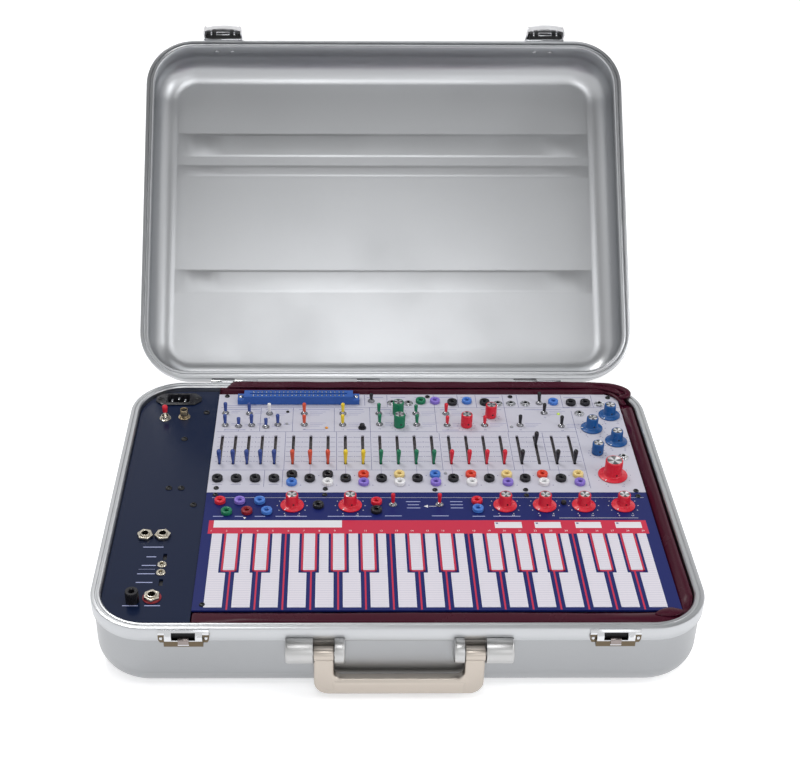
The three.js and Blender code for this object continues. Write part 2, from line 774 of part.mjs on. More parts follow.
function sidePost(radius, height, shares, sides = jackSides) {
  const [x, y] = sidePoint(shares);
  return post(radius, sideTop - cutOverrun, sideTop + height, x, y, sides);
}

// A round column reaching down from the mouth of a quarter-inch jack
function largeJackColumn(radius, depth, shares, overrun = 0) {
  const [x, y] = sidePoint(shares);
  const mouth = sideTop + largeJackHeight;
  return post(radius, mouth - depth, mouth + overrun, x, y, knobSides);
}

// The plate left of the panels, following the rim, with its fixed fittings
function addSidePanel() {
  const slab = outlineSlab(rimWidth + seatGap, sideBottom, sideTop);
  const keepLow = [-caseWidth, -caseDepth, sideBottom - cutOverrun];
  const plate = slab.intersect(block(keepLow, [panelLeft - seatGap, caseDepth, sideTop + cutOverrun]));
  const [inletX, inletY] = sidePoint(inletPlaceShares);
  const halfWidth = inletWidth / 2 + seatGap;
  const halfDepth = inletDepth / 2 + seatGap;
  const inletHole = block(
    [inletX - halfWidth, inletY - halfDepth, sideBottom - cutOverrun],
    [inletX + halfWidth, inletY + halfDepth, sideTop + cutOverrun]);
  const [switchX, switchY] = sidePoint(switchPlaceShares);
  const switchHole = post(
    switchBushRadius + seatGap, sideBottom - cutOverrun, sideTop + cutOverrun, switchX, switchY, knobSides);
  const barrelDepth = largeJackBoreDepth + sheetThickness;
  const fittings = [
    ...largeJackShares.map((place) => sidePost(largeJackRadius, largeJackHeight, place, toggleSides)),
    ...largeJackShares.map((place) => largeJackColumn(largeJackBarrel, barrelDepth, place)),
    ...sideMiniShares.map((place) => sidePost(sideMiniRadius, miniJackHeight, place)),
    ...sideScrewShares.map((place) => sidePost(screwRadius, screwHeight, place)),
    sidePost(phonoRadius, phonoHeight, phonoPlaceShares, knobSides),
    sidePost(postRadius, postHeight, postPlaceShares, knobSides),
  ];
  const bores = largeJackShares.map((place) => {
    return largeJackColumn(largeJackBore, largeJackBoreDepth, place, cutOverrun);
  });
  const whole = cut(join([plate, ...fittings]), [inletHole, switchHole, ...bores]);
  addPiece(synthesizer, 'side_panel', whole, darkNavy);
}

function addPowerInlet() {
  const [x, y] = sidePoint(inletPlaceShares);
  const halfWidth = inletWidth / 2;
  const halfDepth = inletDepth / 2;
  const top = sideTop + seatGap + inletFlangeHeight;
  const outline = new THREE.Shape([
    new THREE.Vector2(-inletFlange / 2, -inletFlangeTip / 2),
    new THREE.Vector2(-halfWidth, -inletFlangeDepth / 2),
    new THREE.Vector2(halfWidth, -inletFlangeDepth / 2),
    new THREE.Vector2(inletFlange / 2, -inletFlangeTip / 2),
    new THREE.Vector2(inletFlange / 2, inletFlangeTip / 2),
    new THREE.Vector2(halfWidth, inletFlangeDepth / 2),
    new THREE.Vector2(-halfWidth, inletFlangeDepth / 2),
    new THREE.Vector2(-inletFlange / 2, inletFlangeTip / 2),
  ]);
  const plate = new THREE.ExtrudeGeometry(outline, { depth: inletFlangeHeight, bevelEnabled: false });
  plate.translate(0, 0, sideTop + seatGap);
  const flange = toSolid(plate);
  const body = block([-halfWidth, -halfDepth, sideTop - inletBodyDepth], [halfWidth, halfDepth, top]);
  const innerWidth = halfWidth - inletWall;
  const innerDepth = halfDepth - inletWall;
  const floor = top - inletRecessDepth;
  const recess = block([-innerWidth, -innerDepth, floor], [innerWidth, innerDepth, top + cutOverrun]);
  const pins = [-1, 0, 1].map((place) => {
    const pinX = place * inletPinPitch;
    const low = [pinX - inletPinWidth / 2, innerDepth - inletPinLength * 2, floor - cutOverrun];
    return block(low, [pinX + inletPinWidth / 2, innerDepth - inletPinLength, top - inletPinLength]);
  });
  const whole = join([cut(join([flange, body]), [recess]), ...pins]);
  addPiece(synthesizer, 'power_inlet', whole, blackPlastic).position.set(x, y, 0);
}

// The switch's bushing hangs in the side panel and its bat rocks on top
function addPowerSwitch() {
  const [x, y] = sidePoint(switchPlaceShares);
  const ball = new THREE.SphereGeometry(switchBatTop, jackSides, toggleSides);
  const bat = post(switchBatRadius, 0, switchBatHeight, 0, 0, jackSides, switchBatTop);
  const lever = addPiece(synthesizer, 'power_switch_lever', join([toSolid(ball), bat]), switchRed);
  lever.position.set(x, y, sideTop + switchBatTop / 2);
  lever.rotation.x = -switchThrow / 2;
}

function addKeepers() {
  ['left', 'right'].forEach((side, index) => {
    const x = (index ? 1 : -1) * (caseWidth / 2 - latchEndClear);
    const faceY = -caseDepth / 2 - seatGap;
    const top = rimTop - seatGap;
    const frontY = faceY - keeperThickness;
    const half = latchWidth / 2;
    const third = latchWidth / 3;
    const plate = block([x - half, frontY, top - keeperHeight / 2], [x + half, faceY, top]);
    const tongue = block([x - third, frontY, top - keeperHeight], [x + third, faceY, top]);
    const hookTop = top - keeperHookHeight / 2;
    const hookLow = [x - keeperHookWidth / 2, frontY - keeperHookReach, hookTop - keeperHookHeight];
    const hook = block(hookLow, [x + keeperHookWidth / 2, faceY, hookTop]);
    const windowBottom = hookTop - keeperHookHeight - cutOverrun;
    const window = block(
      [x - keeperHookWidth / 3, frontY - keeperHookReach / 2, windowBottom],
      [x + keeperHookWidth / 3, frontY + keeperThickness / 2, hookTop - keeperHookHeight / 2]);
    addPiece(synthesizer, 'latch_keeper_' + side, cut(join([plate, tongue, hook]), [window]), chrome);
  });
}

// Latches are drawn on the closed lid, with the hinge pin as origin
function addLatches() {
  const rimPlane = hingeBelowRim + closedGap;
  const faceY = -hingeY - caseDepth / 2 - seatGap;
  const pivotY = faceY - latchPlateThickness - leverDepth / 2;
  const pivotZ = rimPlane + leverTop - leverDepth / 4;
  ['left', 'right'].forEach((side, index) => {
    const x = (index ? 1 : -1) * (caseWidth / 2 - latchEndClear);
    const half = latchWidth / 2;
    const plateFront = faceY - latchPlateThickness;
    const padTop = rimPlane + latchPlateHeight;
    const plate = block([x - half, plateFront, rimPlane + seatGap], [x + half, faceY, padTop]);
    const padBottom = rimPlane + rimBandHeight + seatGap;
    const pad = block([x - half, faceY, padBottom], [x + half, faceY + rimOverhang, padTop]);
    const lugs = [-1, 1].map((end) => {
      const lugX = x + end * (half - leverSheet * 2 - seatGap);
      const lugHalf = leverSheet / 2;
      return block(
        [lugX - lugHalf, pivotY - leverPivotRadius, pivotZ - leverPivotRadius],
        [lugX + lugHalf, faceY - latchPlateThickness / 2, pivotZ + leverPivotRadius]);
    });
    const pinReach = half - leverSheet - seatGap;
    const pin = bar(leverPivotRadius / 2, x - pinReach, x + pinReach, pivotY, pivotZ);
    addPiece(lidGroup, 'latch_base_' + side, join([plate, pad, ...lugs, pin]), chrome);
    addPiece(lidGroup, 'latch_lever_' + side, latchLever(x, faceY, rimPlane, pivotZ), aluminium);
  });
}

// A domed cover, open underneath and towards the keeper
function latchLever(x, faceY, rimPlane, pivotZ) {
  const half = latchWidth / 2;
  const nearY = faceY - latchPlateThickness - keeperThickness - seatGap;
  const farY = nearY - leverDepth;
  const bottom = rimPlane - leverBelowRim;
  const top = pivotZ + leverPivotRadius;
  const shape = new THREE.Shape();
  shape.moveTo(-half, nearY);
  shape.lineTo(-half, farY + leverBulge);
  shape.quadraticCurveTo(0, farY - leverBulge, half, farY + leverBulge);
  shape.lineTo(half, nearY);
  shape.closePath();
  const rise = { depth: top - bottom, bevelEnabled: false, curveSegments: jackSides };
  const cover = new THREE.ExtrudeGeometry(shape, rise);
  cover.translate(x, 0, bottom);
  const hollow = block(
    [x - half + leverSheet, farY + leverBulge + leverSheet / 2, bottom - cutOverrun],
    [x + half - leverSheet, nearY + cutOverrun, top + cutOverrun]);
  return cut(toSolid(cover), [hollow]);
}

// Half-round bars on the front wall that carry the handle's pins
function addHandleBrackets() {
  ['left', 'right'].forEach((side, index) => {
    const sign = index ? 1 : -1;
    const shape = new THREE.Shape();
    shape.moveTo(0, -bracketHeight / 2);
    for (let step = 1; step < bracketSteps; step += 1) {
      const angle = step / bracketSteps * Math.PI;
      shape.lineTo(-bracketReach * Math.sin(angle), -bracketHeight / 2 * Math.cos(angle));
    }
    shape.lineTo(0, bracketHeight / 2);
    shape.closePath();
    const length = bracketOuter - bracketInner;
    const geometry = new THREE.ExtrudeGeometry(shape, { depth: length, bevelEnabled: false });
    geometry.applyMatrix4(new THREE.Matrix4().set(0, 0, 1, 0, 1, 0, 0, 0, 0, 1, 0, 0, 0, 0, 0, 1));
    const faceY = frontWallY - seatGap;
    geometry.translate(sign > 0 ? bracketInner : -bracketOuter, faceY, handlePivotZ);
    const centre = sign * handleSpread;
    const slotHalf = bracketSlot / 2;
    const slot = block(
      [centre - slotHalf, faceY - bracketReach * 2, handlePivotZ - bracketHeight],
      [centre + slotHalf, faceY - seatGap, handlePivotZ + bracketHeight]);
    const band = block(
      [-caseWidth, -caseDepth / 2 - seatGap, rimTop - rimBandHeight - seatGap],
      [caseWidth, 0, rimTop]);
    const pinReach = slotHalf + cutOverrun;
    const pinY = frontWallY - handlePivotOut;
    const pin = bar(handlePinRadius, centre - pinReach, centre + pinReach, pinY, handlePivotZ);
    const third = bracketHeight / 3;
    const base = block(
      [centre - pinReach, faceY - sheetThickness / 2, handlePivotZ - third],
      [centre + pinReach, faceY, handlePivotZ + third]);
    const whole = join([cut(toSolid(geometry), [slot, band]), pin, base]);
    addPiece(synthesizer, 'handle_bracket_' + side, whole, warmSilver);
  });
}

// The handle: two flat arms and a grip bar, drawn about its pivot line
function addHandle() {
  const outer = handleSpread + handleArmWidth / 2;
  const inner = handleSpread - handleArmWidth / 2;
  const bottom = -handleDrop - handleGripHeight / 2;
  const gripTop = -handleDrop + handleGripHeight / 2;
  const shape = new THREE.Shape();
  shape.moveTo(-outer, 0);
  shape.lineTo(-outer, bottom + handleCorner);
  shape.quadraticCurveTo(-outer, bottom, -outer + handleCorner, bottom);
  shape.lineTo(outer - handleCorner, bottom);
  shape.quadraticCurveTo(outer, bottom, outer, bottom + handleCorner);
  shape.lineTo(outer, 0);
  shape.lineTo(inner, 0);
  shape.lineTo(inner, gripTop + handleCorner / 2);
  shape.quadraticCurveTo(inner, gripTop, inner - handleCorner / 2, gripTop);
  shape.lineTo(-inner + handleCorner / 2, gripTop);
  shape.quadraticCurveTo(-inner, gripTop, -inner, gripTop + handleCorner / 2);
  shape.lineTo(-inner, 0);
  shape.closePath();
  const loop = new THREE.ExtrudeGeometry(shape, {
    depth: handleArmThickness - 2 * handleBevel,
    bevelThickness: handleBevel,
    bevelSize: handleBevel / 2,
    bevelOffset: -handleBevel / 2,
    bevelSegments: handleBevelSteps,
    curveSegments: handleCurveSteps,
  });
  loop.rotateX(Math.PI / 2);
  loop.translate(0, handleArmThickness / 2 - handleBevel, 0);
  const halfArm = handleArmWidth / 2;
  const eyes = [-1, 1].map((sign) => {
    const centre = sign * handleSpread;
    return bar(handleEyeRadius, centre - halfArm, centre + halfArm, 0, 0, knobSides);
  });
  const holes = [-1, 1].map((sign) => {
    const centre = sign * handleSpread;
    const radius = (handlePinRadius + seatGap) / Math.cos(Math.PI / knobSides);
    return bar(radius, centre - handleArmWidth, centre + handleArmWidth, 0, 0, knobSides);
  });
  const handle = addPiece(synthesizer, 'handle', cut(join([toSolid(loop), ...eyes]), holes), warmSilver);
  handle.position.set(0, frontWallY - handlePivotOut, handlePivotZ);
}

// The padded strip between the panels and the rim, open on the left
function addLiner() {
  const top = panelTop + linerAbovePanel;
  const lower = outlineSlab(rimWidth + seatGap, linerBottom, top - linerSoftEdge);
  const soft = outlineSlab(rimWidth + seatGap + linerSoftEdge / 2, top - linerSoftEdge, top);
  const room = block(
    [-caseWidth, keyboardFrontY - seatGap, linerBottom - cutOverrun],
    [panelRight + seatGap, panelRearY + seatGap, top + cutOverrun]);
  const cornerInset = rimWidth + panelCornerTrim - seatGap;
  const corner = outlineSlab(cornerInset, linerBottom - cutOverrun, top + cutOverrun);
  const leftSide = block(
    [-caseWidth, -caseDepth, linerBottom - cutOverrun], [panelLeft, caseDepth, top + cutOverrun]);
  addPiece(synthesizer, 'liner', cut(join([lower, soft]), [room.intersect(corner), leftSide]), maroon);
}

// Pan with cross rails under the panels, both circuit boards and the power supply
function addChassis() {
  const floor = sheetThickness + seatGap;
  const railTop = panelBottom - seatGap;
  const left = panelLeft + chassisLeftClear;
  const right = panelRight - chassisRightClear;
  const rear = caseDepth / 2 - chassisEndClear;
  const plates = [block([left, -rear, floor], [right, rear, floor + chassisSheet])];
  [-rear, panelSplitY - chassisSheet / 2, rear - chassisSheet].forEach((y) => {
    plates.push(block([left, y, floor], [right, y + chassisSheet, railTop]));
  });
  const upperBoard = panelTop - upperBoardBelow;
  plates.push(block([left, panelSplitY, upperBoard], [right, rear, upperBoard + boardThickness]));
  const keyBoard = panelTop - keyboardBoardBelow;
  plates.push(block([left, -rear, keyBoard], [right, panelSplitY, keyBoard + boardThickness]));
  const supplyLow = [left + supplyDepth / 2, -supplyDepth, floor];
  plates.push(block(supplyLow, [supplyLow[0] + supplyLength, 0, floor + supplyHeight]));
  addPiece(synthesizer, 'internal_chassis', join(plates), boardGreen);
}

addTray();
addChassis();
addUpperPanel();
addKeyboardPanel();
addSidePanel();
addLiner();
addConnector();
addPowerInlet();
addPowerSwitch();
addSliders();
addKnobs();
addPushButton();
addKeepers();
addHandleBrackets();
addHandle();
addHingeLeaves();
addLid();
addLatches();

export default synthesizer;
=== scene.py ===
"""Looks of a modular synthesizer in a suitcase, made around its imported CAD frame."""
import json
import math

import bmesh
import bpy
from mathutils import Matrix, Vector


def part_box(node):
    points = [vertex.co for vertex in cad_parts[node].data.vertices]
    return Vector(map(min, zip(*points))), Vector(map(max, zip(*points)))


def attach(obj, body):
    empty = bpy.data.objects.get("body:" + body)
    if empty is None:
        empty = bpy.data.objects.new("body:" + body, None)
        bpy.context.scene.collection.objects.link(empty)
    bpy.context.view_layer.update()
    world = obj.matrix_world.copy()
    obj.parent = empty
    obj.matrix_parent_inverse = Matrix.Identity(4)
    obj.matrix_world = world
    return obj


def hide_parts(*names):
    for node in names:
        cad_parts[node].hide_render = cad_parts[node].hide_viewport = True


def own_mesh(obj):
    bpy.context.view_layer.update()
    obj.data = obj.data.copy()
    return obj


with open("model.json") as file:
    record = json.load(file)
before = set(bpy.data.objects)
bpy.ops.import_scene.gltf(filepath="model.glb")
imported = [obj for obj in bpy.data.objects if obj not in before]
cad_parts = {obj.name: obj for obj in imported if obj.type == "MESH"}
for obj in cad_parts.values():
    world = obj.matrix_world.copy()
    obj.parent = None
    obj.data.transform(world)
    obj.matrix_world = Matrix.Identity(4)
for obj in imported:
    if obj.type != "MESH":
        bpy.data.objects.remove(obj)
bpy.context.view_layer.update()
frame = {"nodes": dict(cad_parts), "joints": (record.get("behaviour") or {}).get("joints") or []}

bl_info = {
    "name": "Suitcase modular synthesizer",
    "version": (1, 0, 0),
    "blender": (4, 5, 0),
    "location": "View3D > Sidebar > Synthesizer",
    "description": "Builds the case, panels, controls and fittings of a suitcase synthesizer",
    "category": "Add Mesh",
}

MM = 0.001


def joint_place(name):
    return Vector(next(joint["pos_m"] for joint in frame["joints"] if joint["name"] == name))


HINGE_AXIS = joint_place("lid_hinge")
OPEN_ANGLE = math.radians(132.2)
LID_PLACE = Matrix.Translation(HINGE_AXIS) @ Matrix.Rotation(-OPEN_ANGLE, 4, "X")


# Settings that a user may change

def length(name, about, default_mm):
    return bpy.props.FloatProperty(
        name=name, description=about, default=default_mm * MM, unit="LENGTH", subtype="DISTANCE")


def tint(name, about, default):
    return bpy.props.FloatVectorProperty(
        name=name, description=about, default=default, size=3, min=0.0, max=1.0, subtype="COLOR")


class CaseSettings(bpy.types.PropertyGroup):
    width: length("Width", "Width of both halves at the rim", 546)
    depth: length("Depth", "Front to back of both halves at the rim", 397)
    tray_height: length("Tray height", "Underside to rim of the tray", 76)
    lid_height: length("Lid height", "Rim to top of the lid", 62)
    corner: length("Corner radius", "Radius of the corners seen from above", 53.6)
    edge: length("Edge radius", "Radius between the walls and the flat faces", 28)
    sheet: length("Sheet", "Thickness of the aluminium sheet", 1.6)
    band: length("Rim band", "Height of the rim's outer band", 14)
    overhang: length("Rim overhang", "How far the rim stands out from the walls", 2.5)
    rim_below_pin: length("Rim below the pin", "Tray rim above the hinge pin's centre", 3.3)
    closed_gap: length("Closed gap", "Gap between both rims when shut", 0.4)
    metal: tint("Aluminium", "Colour of the satin aluminium", (0.44, 0.45, 0.465))


class PanelSettings(bpy.types.PropertyGroup):
    left: length("Left edge", "Left edge of both panels", -181.9)
    right: length("Right edge", "Right edge of both panels", 249.9)
    rear: length("Rear edge", "Rear edge of the upper panel", 181.4)
    split: length("Split", "Line between both panels", 3.6)
    front: length("Front edge", "Front edge of the keyboard panel", -169.0)
    top: length("Top face", "Height of both panels' top faces", 71)
    thickness: length("Thickness", "Thickness of both panels", 2)
    side_top: length("Side plate top", "Height of the side plate's top face", 70)
    pale: tint("Pale paint", "Colour of the upper panel", (0.56, 0.555, 0.635))
    navy: tint("Navy paint", "Colour of the keyboard panel", (0.009, 0.016, 0.125))
    side: tint("Side paint", "Colour of the side plate", (0.006, 0.013, 0.042))
    band: tint("Red band", "Colour of the band above the keys", (0.56, 0.02, 0.06))


class ControlSettings(bpy.types.PropertyGroup):
    red: tint("Red", "Red knobs, toggles and sliders", (0.68, 0.018, 0.04))
    blue: tint("Blue", "Blue knobs", (0.008, 0.085, 0.29))
    navy_blue: tint("Dark blue", "Blue toggles and sliders", (0.036, 0.07, 0.28))
    green: tint("Green", "Green knobs, toggles and sliders", (0.008, 0.18, 0.085))
    orange: tint("Orange", "Orange toggles and sliders", (0.66, 0.085, 0.04))
    yellow: tint("Yellow", "Yellow toggles and sliders", (0.82, 0.60, 0.03))
    black: tint("Black", "Black caps and jacks", (0.012, 0.012, 0.016))
    white: tint("White", "White caps and jacks", (0.80, 0.80, 0.82))
    slider_height: length("Slider cap height", "Height of a slider's cap above the panel", 16.2)
    toggle_height: length("Toggle height", "Height of a toggle's sleeve", 13)


# Small habits of the hand

def free_hand():
    """Leave edit mode and select nothing."""
    if bpy.context.mode != "OBJECT":
        bpy.ops.object.mode_set(mode="OBJECT")
    bpy.ops.object.select_all(action="DESELECT")


def take(obj):
    free_hand()
    obj.select_set(True)
    bpy.context.view_layer.objects.active = obj
    return obj


def settle(obj, place=None):
    """Put the object's place, or one that is given, into its mesh."""
    if place is not None:
        obj.matrix_world = place if isinstance(place, Matrix) else Matrix.Translation(place)
    take(obj)
    bpy.ops.object.transform_apply(location=True, rotation=True, scale=True)
    return obj


def begin_edit(obj):
    take(obj)
    bpy.ops.object.mode_set(mode="EDIT")
    bpy.ops.mesh.select_all(action="DESELECT")


def end_edit(obj):
    bpy.ops.object.mode_set(mode="OBJECT")
    return obj


def pick_faces(obj, wanted):
    """Select the faces for which wanted(face) holds."""
    bpy.ops.mesh.select_mode(type="FACE")
    bpy.ops.mesh.select_all(action="DESELECT")
    mesh = bmesh.from_edit_mesh(obj.data)
    for face in mesh.faces:
        if wanted(face):
            face.select_set(True)
    bmesh.update_edit_mesh(obj.data)


def pick_edges(obj, wanted):
    bpy.ops.mesh.select_mode(type="EDGE")
    bpy.ops.mesh.select_all(action="DESELECT")
    mesh = bmesh.from_edit_mesh(obj.data)
    for edge in mesh.edges:
        if wanted(edge):
            edge.select_set(True)
    bmesh.update_edit_mesh(obj.data)


def draw_out(x=0.0, y=0.0, z=0.0):
    bpy.ops.mesh.extrude_region_move(TRANSFORM_OT_translate={"value": (x, y, z)})


def step_in(inward, along=0.0):
    bpy.ops.mesh.inset(thickness=inward, depth=along, use_even_offset=True)


def finish_with(obj, kind, **choices):
    """Add one modifier and apply it."""
    take(obj)
    modifier = obj.modifiers.new(kind.lower(), kind)
    for key, value in choices.items():
        setattr(modifier, key, value)
    bpy.ops.object.modifier_apply(modifier=modifier.name)
    return obj


def soften(obj, width, segments=2, angle=35.0):
    return finish_with(
        obj, "BEVEL", width=width, segments=segments, limit_method="ANGLE",
        angle_limit=math.radians(angle), harden_normals=False)


def runs_along(edge, axis):
    """Whether an edge runs along an axis: 0 for the width, 1 for the depth, 2 for the height."""
    along = edge.verts[0].co - edge.verts[1].co
    return abs(along[axis]) > 0.9 * along.length


def upright(edge):
    return runs_along(edge, 2)


def round_edges(obj, wanted, width, segments):
    """Bevel the edges for which wanted(edge) holds; the width is in millimetres."""
    begin_edit(obj)
    pick_edges(obj, wanted)
    bpy.ops.mesh.bevel(offset=width * MM, segments=segments, affect="EDGES")
    return end_edit(obj)


def smooth(obj, angle=35.0):
    take(obj)
    bpy.ops.object.shade_smooth_by_angle(angle=math.radians(angle))
    return obj


def plain_box(name, low, high):
    """A block between two corners in metres, as a start."""
    free_hand()
    size = [b - a for a, b in zip(low, high)]
    centre = [(a + b) / 2 for a, b in zip(low, high)]
    bpy.ops.mesh.primitive_cube_add(size=1, location=centre)
    obj = bpy.context.active_object
    obj.name = name
    obj.scale = size
    return settle(obj)


def soft_box(name, low, high, width, segments=2):
    return smooth(soften(plain_box(name, low, high), width, segments))


def turned(name, outline, sides=24, stretch=(1.0, 1.0)):
    """A round piece drawn upwards through pairs of radius and height in millimetres."""
    free_hand()
    radius, height = outline[0]
    bpy.ops.mesh.primitive_circle_add(
        vertices=sides, radius=radius * MM, fill_type="NGON", location=(0, 0, height * MM))
    obj = bpy.context.active_object
    obj.name = name
    settle(obj)
    bpy.ops.object.mode_set(mode="EDIT")
    bpy.ops.mesh.select_all(action="SELECT")
    for (r0, h0), (r1, h1) in zip(outline, outline[1:]):
        draw_out(z=(h1 - h0) * MM)
        bpy.ops.transform.resize(
            value=(r1 / r0, r1 / r0, 1), center_override=(0, 0, h1 * MM))
    bpy.ops.mesh.select_all(action="SELECT")
    bpy.ops.mesh.normals_make_consistent(inside=False)
    end_edit(obj)
    if stretch != (1.0, 1.0):
        obj.scale = (*stretch, 1)
        settle(obj)
    return obj


def rod(name, radius, depth, place, sides, turn=(0, 0, 0)):
    """A cylinder round its middle, in millimetres."""
    free_hand()
    bpy.ops.mesh.primitive_cylinder_add(
        vertices=sides, radius=radius * MM, depth=depth * MM, location=at(*place), rotation=turn)
    obj = bpy.context.active_object
    obj.name = name
    return settle(obj)


def joined(name, pieces):
    """One object made of several."""
    free_hand()
    for piece in pieces:
        piece.select_set(True)
    bpy.context.view_layer.objects.active = pieces[0]
    if len(pieces) > 1:
        bpy.ops.object.join()
    pieces[0].name = name
    return pieces[0]


def twin(master, name, place):
    """A copy of the master with its own mesh, put where place says."""
    take(master)
    bpy.ops.object.duplicate(linked=False)
    copy = bpy.context.active_object
    copy.name = name
    return settle(copy, place)


def copies(master, name, places, finish, body="case"):
    """Dressed copies of a master, numbered from 1, and the master is dropped."""
    for number, place in enumerate(places, 1):
        wear(twin(master, name % number, place), finish, body)
    discard(master)


def discard(*masters):
    free_hand()
    for master in masters:
        master.select_set(True)
    bpy.ops.object.delete()


def cut_away(obj, cutter, how="DIFFERENCE"):
    finish_with(obj, "BOOLEAN", object=cutter, operation=how, solver="EXACT")
    discard(cutter)
    return obj


def on_panel(panels, x, y):
    """A place on the panels' top faces, given in millimetres."""
    return at(x, y) + Vector((0, 0, panels.top))


def wear(obj, finish, body, stands_for=()):
    """Give a finished piece its material, its body and the CAD nodes that it stands for."""
    obj.data.materials.clear()
    obj.data.materials.append(FINISHES[finish])
    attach(obj, body)
    if stands_for:
        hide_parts(*stands_for)
    return obj


def at(x, y, z=0.0):
    """A place given in millimetres."""
    return Vector((x, y, z)) * MM


# Materials

def principled(tree):
    return next(node for node in tree.nodes if node.type == "BSDF_PRINCIPLED")


def new_tree(name):
    material = bpy.data.materials.new(name)
    material.use_nodes = True
    return material, material.node_tree, principled(material.node_tree)


def add_node(tree, kind, **inputs):
    """A node with its choices and input values; a number after an underline names a socket."""
    node = tree.nodes.new("ShaderNode" + kind)
    for key, value in inputs.items():
        if hasattr(node, key):
            setattr(node, key, value)
        elif key.startswith("_"):
            node.inputs[int(key[1:])].default_value = value
        else:
            node.inputs[key.replace("_", " ")].default_value = value
    return node


def link(tree, *wires):
    """Each wire is a node, its output, another node and its input."""
    for source, leaving, target, entering in wires:
        tree.links.new(source.outputs[leaving], target.inputs[entering])


def chain(tree, *nodes):
    """Link the first output of each node to the first input of the next."""
    for source, target in zip(nodes, nodes[1:]):
        tree.links.new(source.outputs[0], target.inputs[0])


def new_group(name, inputs, result):
    """A shader node group with float inputs and one float output."""
    group = bpy.data.node_groups.new(name, "ShaderNodeTree")
    for label, default in inputs.items():
        socket = group.interface.new_socket(label, in_out="INPUT", socket_type="NodeSocketFloat")
        socket.default_value = default
    group.interface.new_socket(result, in_out="OUTPUT", socket_type="NodeSocketFloat")
    return group, group.nodes.new("NodeGroupInput"), group.nodes.new("NodeGroupOutput")


def build_groups():
    # Fine grain: an even small noise for paint, plastic and leather
    grain, given, result = new_group("fine_grain", {"Scale": 900.0, "Detail": 3.0}, "Value")
    place = add_node(grain, "TexCoord")
    noise = add_node(grain, "TexNoise")
    link(
        grain, (place, "Object", noise, "Vector"), (given, "Scale", noise, "Scale"),
        (given, "Detail", noise, "Detail"), (noise, "Fac", result, "Value"))

    # Handling: broad smudges where hands have been
    marks, given, result = new_group(
        "handling_marks", {"Scale": 22.0, "Low": 0.45, "High": 0.75}, "Mask")
    place = add_node(marks, "TexCoord")
    broad = add_node(marks, "TexNoise", Detail=6.0, Roughness=0.65)
    rise = add_node(marks, "MapRange")
    link(
        marks, (place, "Object", broad, "Vector"), (given, "Scale", broad, "Scale"),
        (broad, "Fac", rise, "Value"), (given, "Low", rise, "From Min"),
        (given, "High", rise, "From Max"), (rise, "Result", result, "Mask"))
    return {"grain": grain, "marks": marks}


def shade(colour, factor):
    return tuple(min(1.0, value * factor) for value in colour[:3]) + (1.0,)


def make_finish(
        name, colour, roughness, metallic=0.0, grain=900.0, bump=0.05, swing=0.06,
        rough_swing=0.08, coat=0.0, marks=22.0, shine=0.35):
    """A finish whose colour, roughness and relief vary over the surface."""
    material, tree, shader = new_tree(name)
    if not metallic:
        shader.inputs["Specular IOR Level"].default_value = shine
    shader.inputs["Metallic"].default_value = metallic
    shader.inputs["Coat Weight"].default_value = coat
    shader.inputs["Coat Roughness"].default_value = 0.12
    fine = add_node(tree, "Group", node_tree=GROUPS["grain"], Scale=grain)
    handled = add_node(tree, "Group", node_tree=GROUPS["marks"], Scale=marks)
    tones = add_node(
        tree, "Mix", data_type="RGBA", _6=shade(colour, 1 - swing), _7=shade(colour, 1 + swing))
    rough = add_node(
        tree, "MapRange", To_Min=roughness, To_Max=min(1.0, roughness + rough_swing))
    relief = add_node(tree, "Bump", Strength=bump, Distance=0.2 * MM)
    link(
        tree, (fine, "Value", tones, 0), (tones, 2, shader, "Base Color"),
        (handled, "Mask", rough, "Value"), (rough, "Result", shader, "Roughness"),
        (fine, "Value", relief, "Height"), (relief, "Normal", shader, "Normal"))
    return material


def mix_in(tree, mask, colour, covers):
    """Mix a plain colour with the base colour; it covers where the mask is high, or low."""
    shader = principled(tree)
    before = shader.inputs["Base Color"].links[0].from_socket
    plain, other = (7, 6) if covers else (6, 7)
    mixed = add_node(tree, "Mix", data_type="RGBA")
    mixed.inputs[plain].default_value = (*colour, 1.0)
    tree.links.new(before, mixed.inputs[other])
    link(tree, (mask, 0, mixed, 0), (mixed, 2, shader, "Base Color"))


def make_striped(name, ground, line, pitch, share):
    """A matt finish with fine lines across it; the pitch is in millimetres."""
    material = make_finish(name, ground, 0.40, grain=2200.0, bump=0.04, swing=0.05)
    tree = material.node_tree
    place = add_node(tree, "TexCoord")
    parts = add_node(tree, "SeparateXYZ")
    scaled = add_node(tree, "Math", operation="MULTIPLY", _1=1.0 / (pitch * MM))
    repeat = add_node(tree, "Math", operation="FRACT")
    narrow = add_node(tree, "Math", operation="LESS_THAN", _1=share)
    link(tree, (place, "Object", parts, "Vector"), (parts, "Y", scaled, 0))
    chain(tree, scaled, repeat, narrow)
    mix_in(tree, narrow, line, True)
    return material


def make_wedges(name, bright, dark):
    """Turned metal with a painted highlight: bright wedges, a painted reflection of the lamps, cross
    over its middle, on the piece's own map.
    """
    material = make_finish(name, bright, 0.22, 1.0, grain=2500.0, bump=0.05, swing=0.03)
    tree = material.node_tree
    place = add_node(tree, "UVMap", uv_map="round_map")
    parts = add_node(tree, "SeparateXYZ")
    angle = add_node(tree, "Math", operation="ARCTAN2")
    twice = add_node(tree, "Math", operation="MULTIPLY", _1=2.0)
    wave = add_node(tree, "Math", operation="SINE")
    size = add_node(tree, "Math", operation="ABSOLUTE")
    painted_highlight = add_node(
        tree, "MapRange", interpolation_type="SMOOTHSTEP", From_Min=0.55, From_Max=0.90)
    link(tree, (place, "UV", parts, "Vector"), (parts, "Y", angle, 0), (parts, "X", angle, 1))
    chain(tree, angle, twice, wave, size, painted_highlight)
    mix_in(tree, painted_highlight, dark, False)
    return material


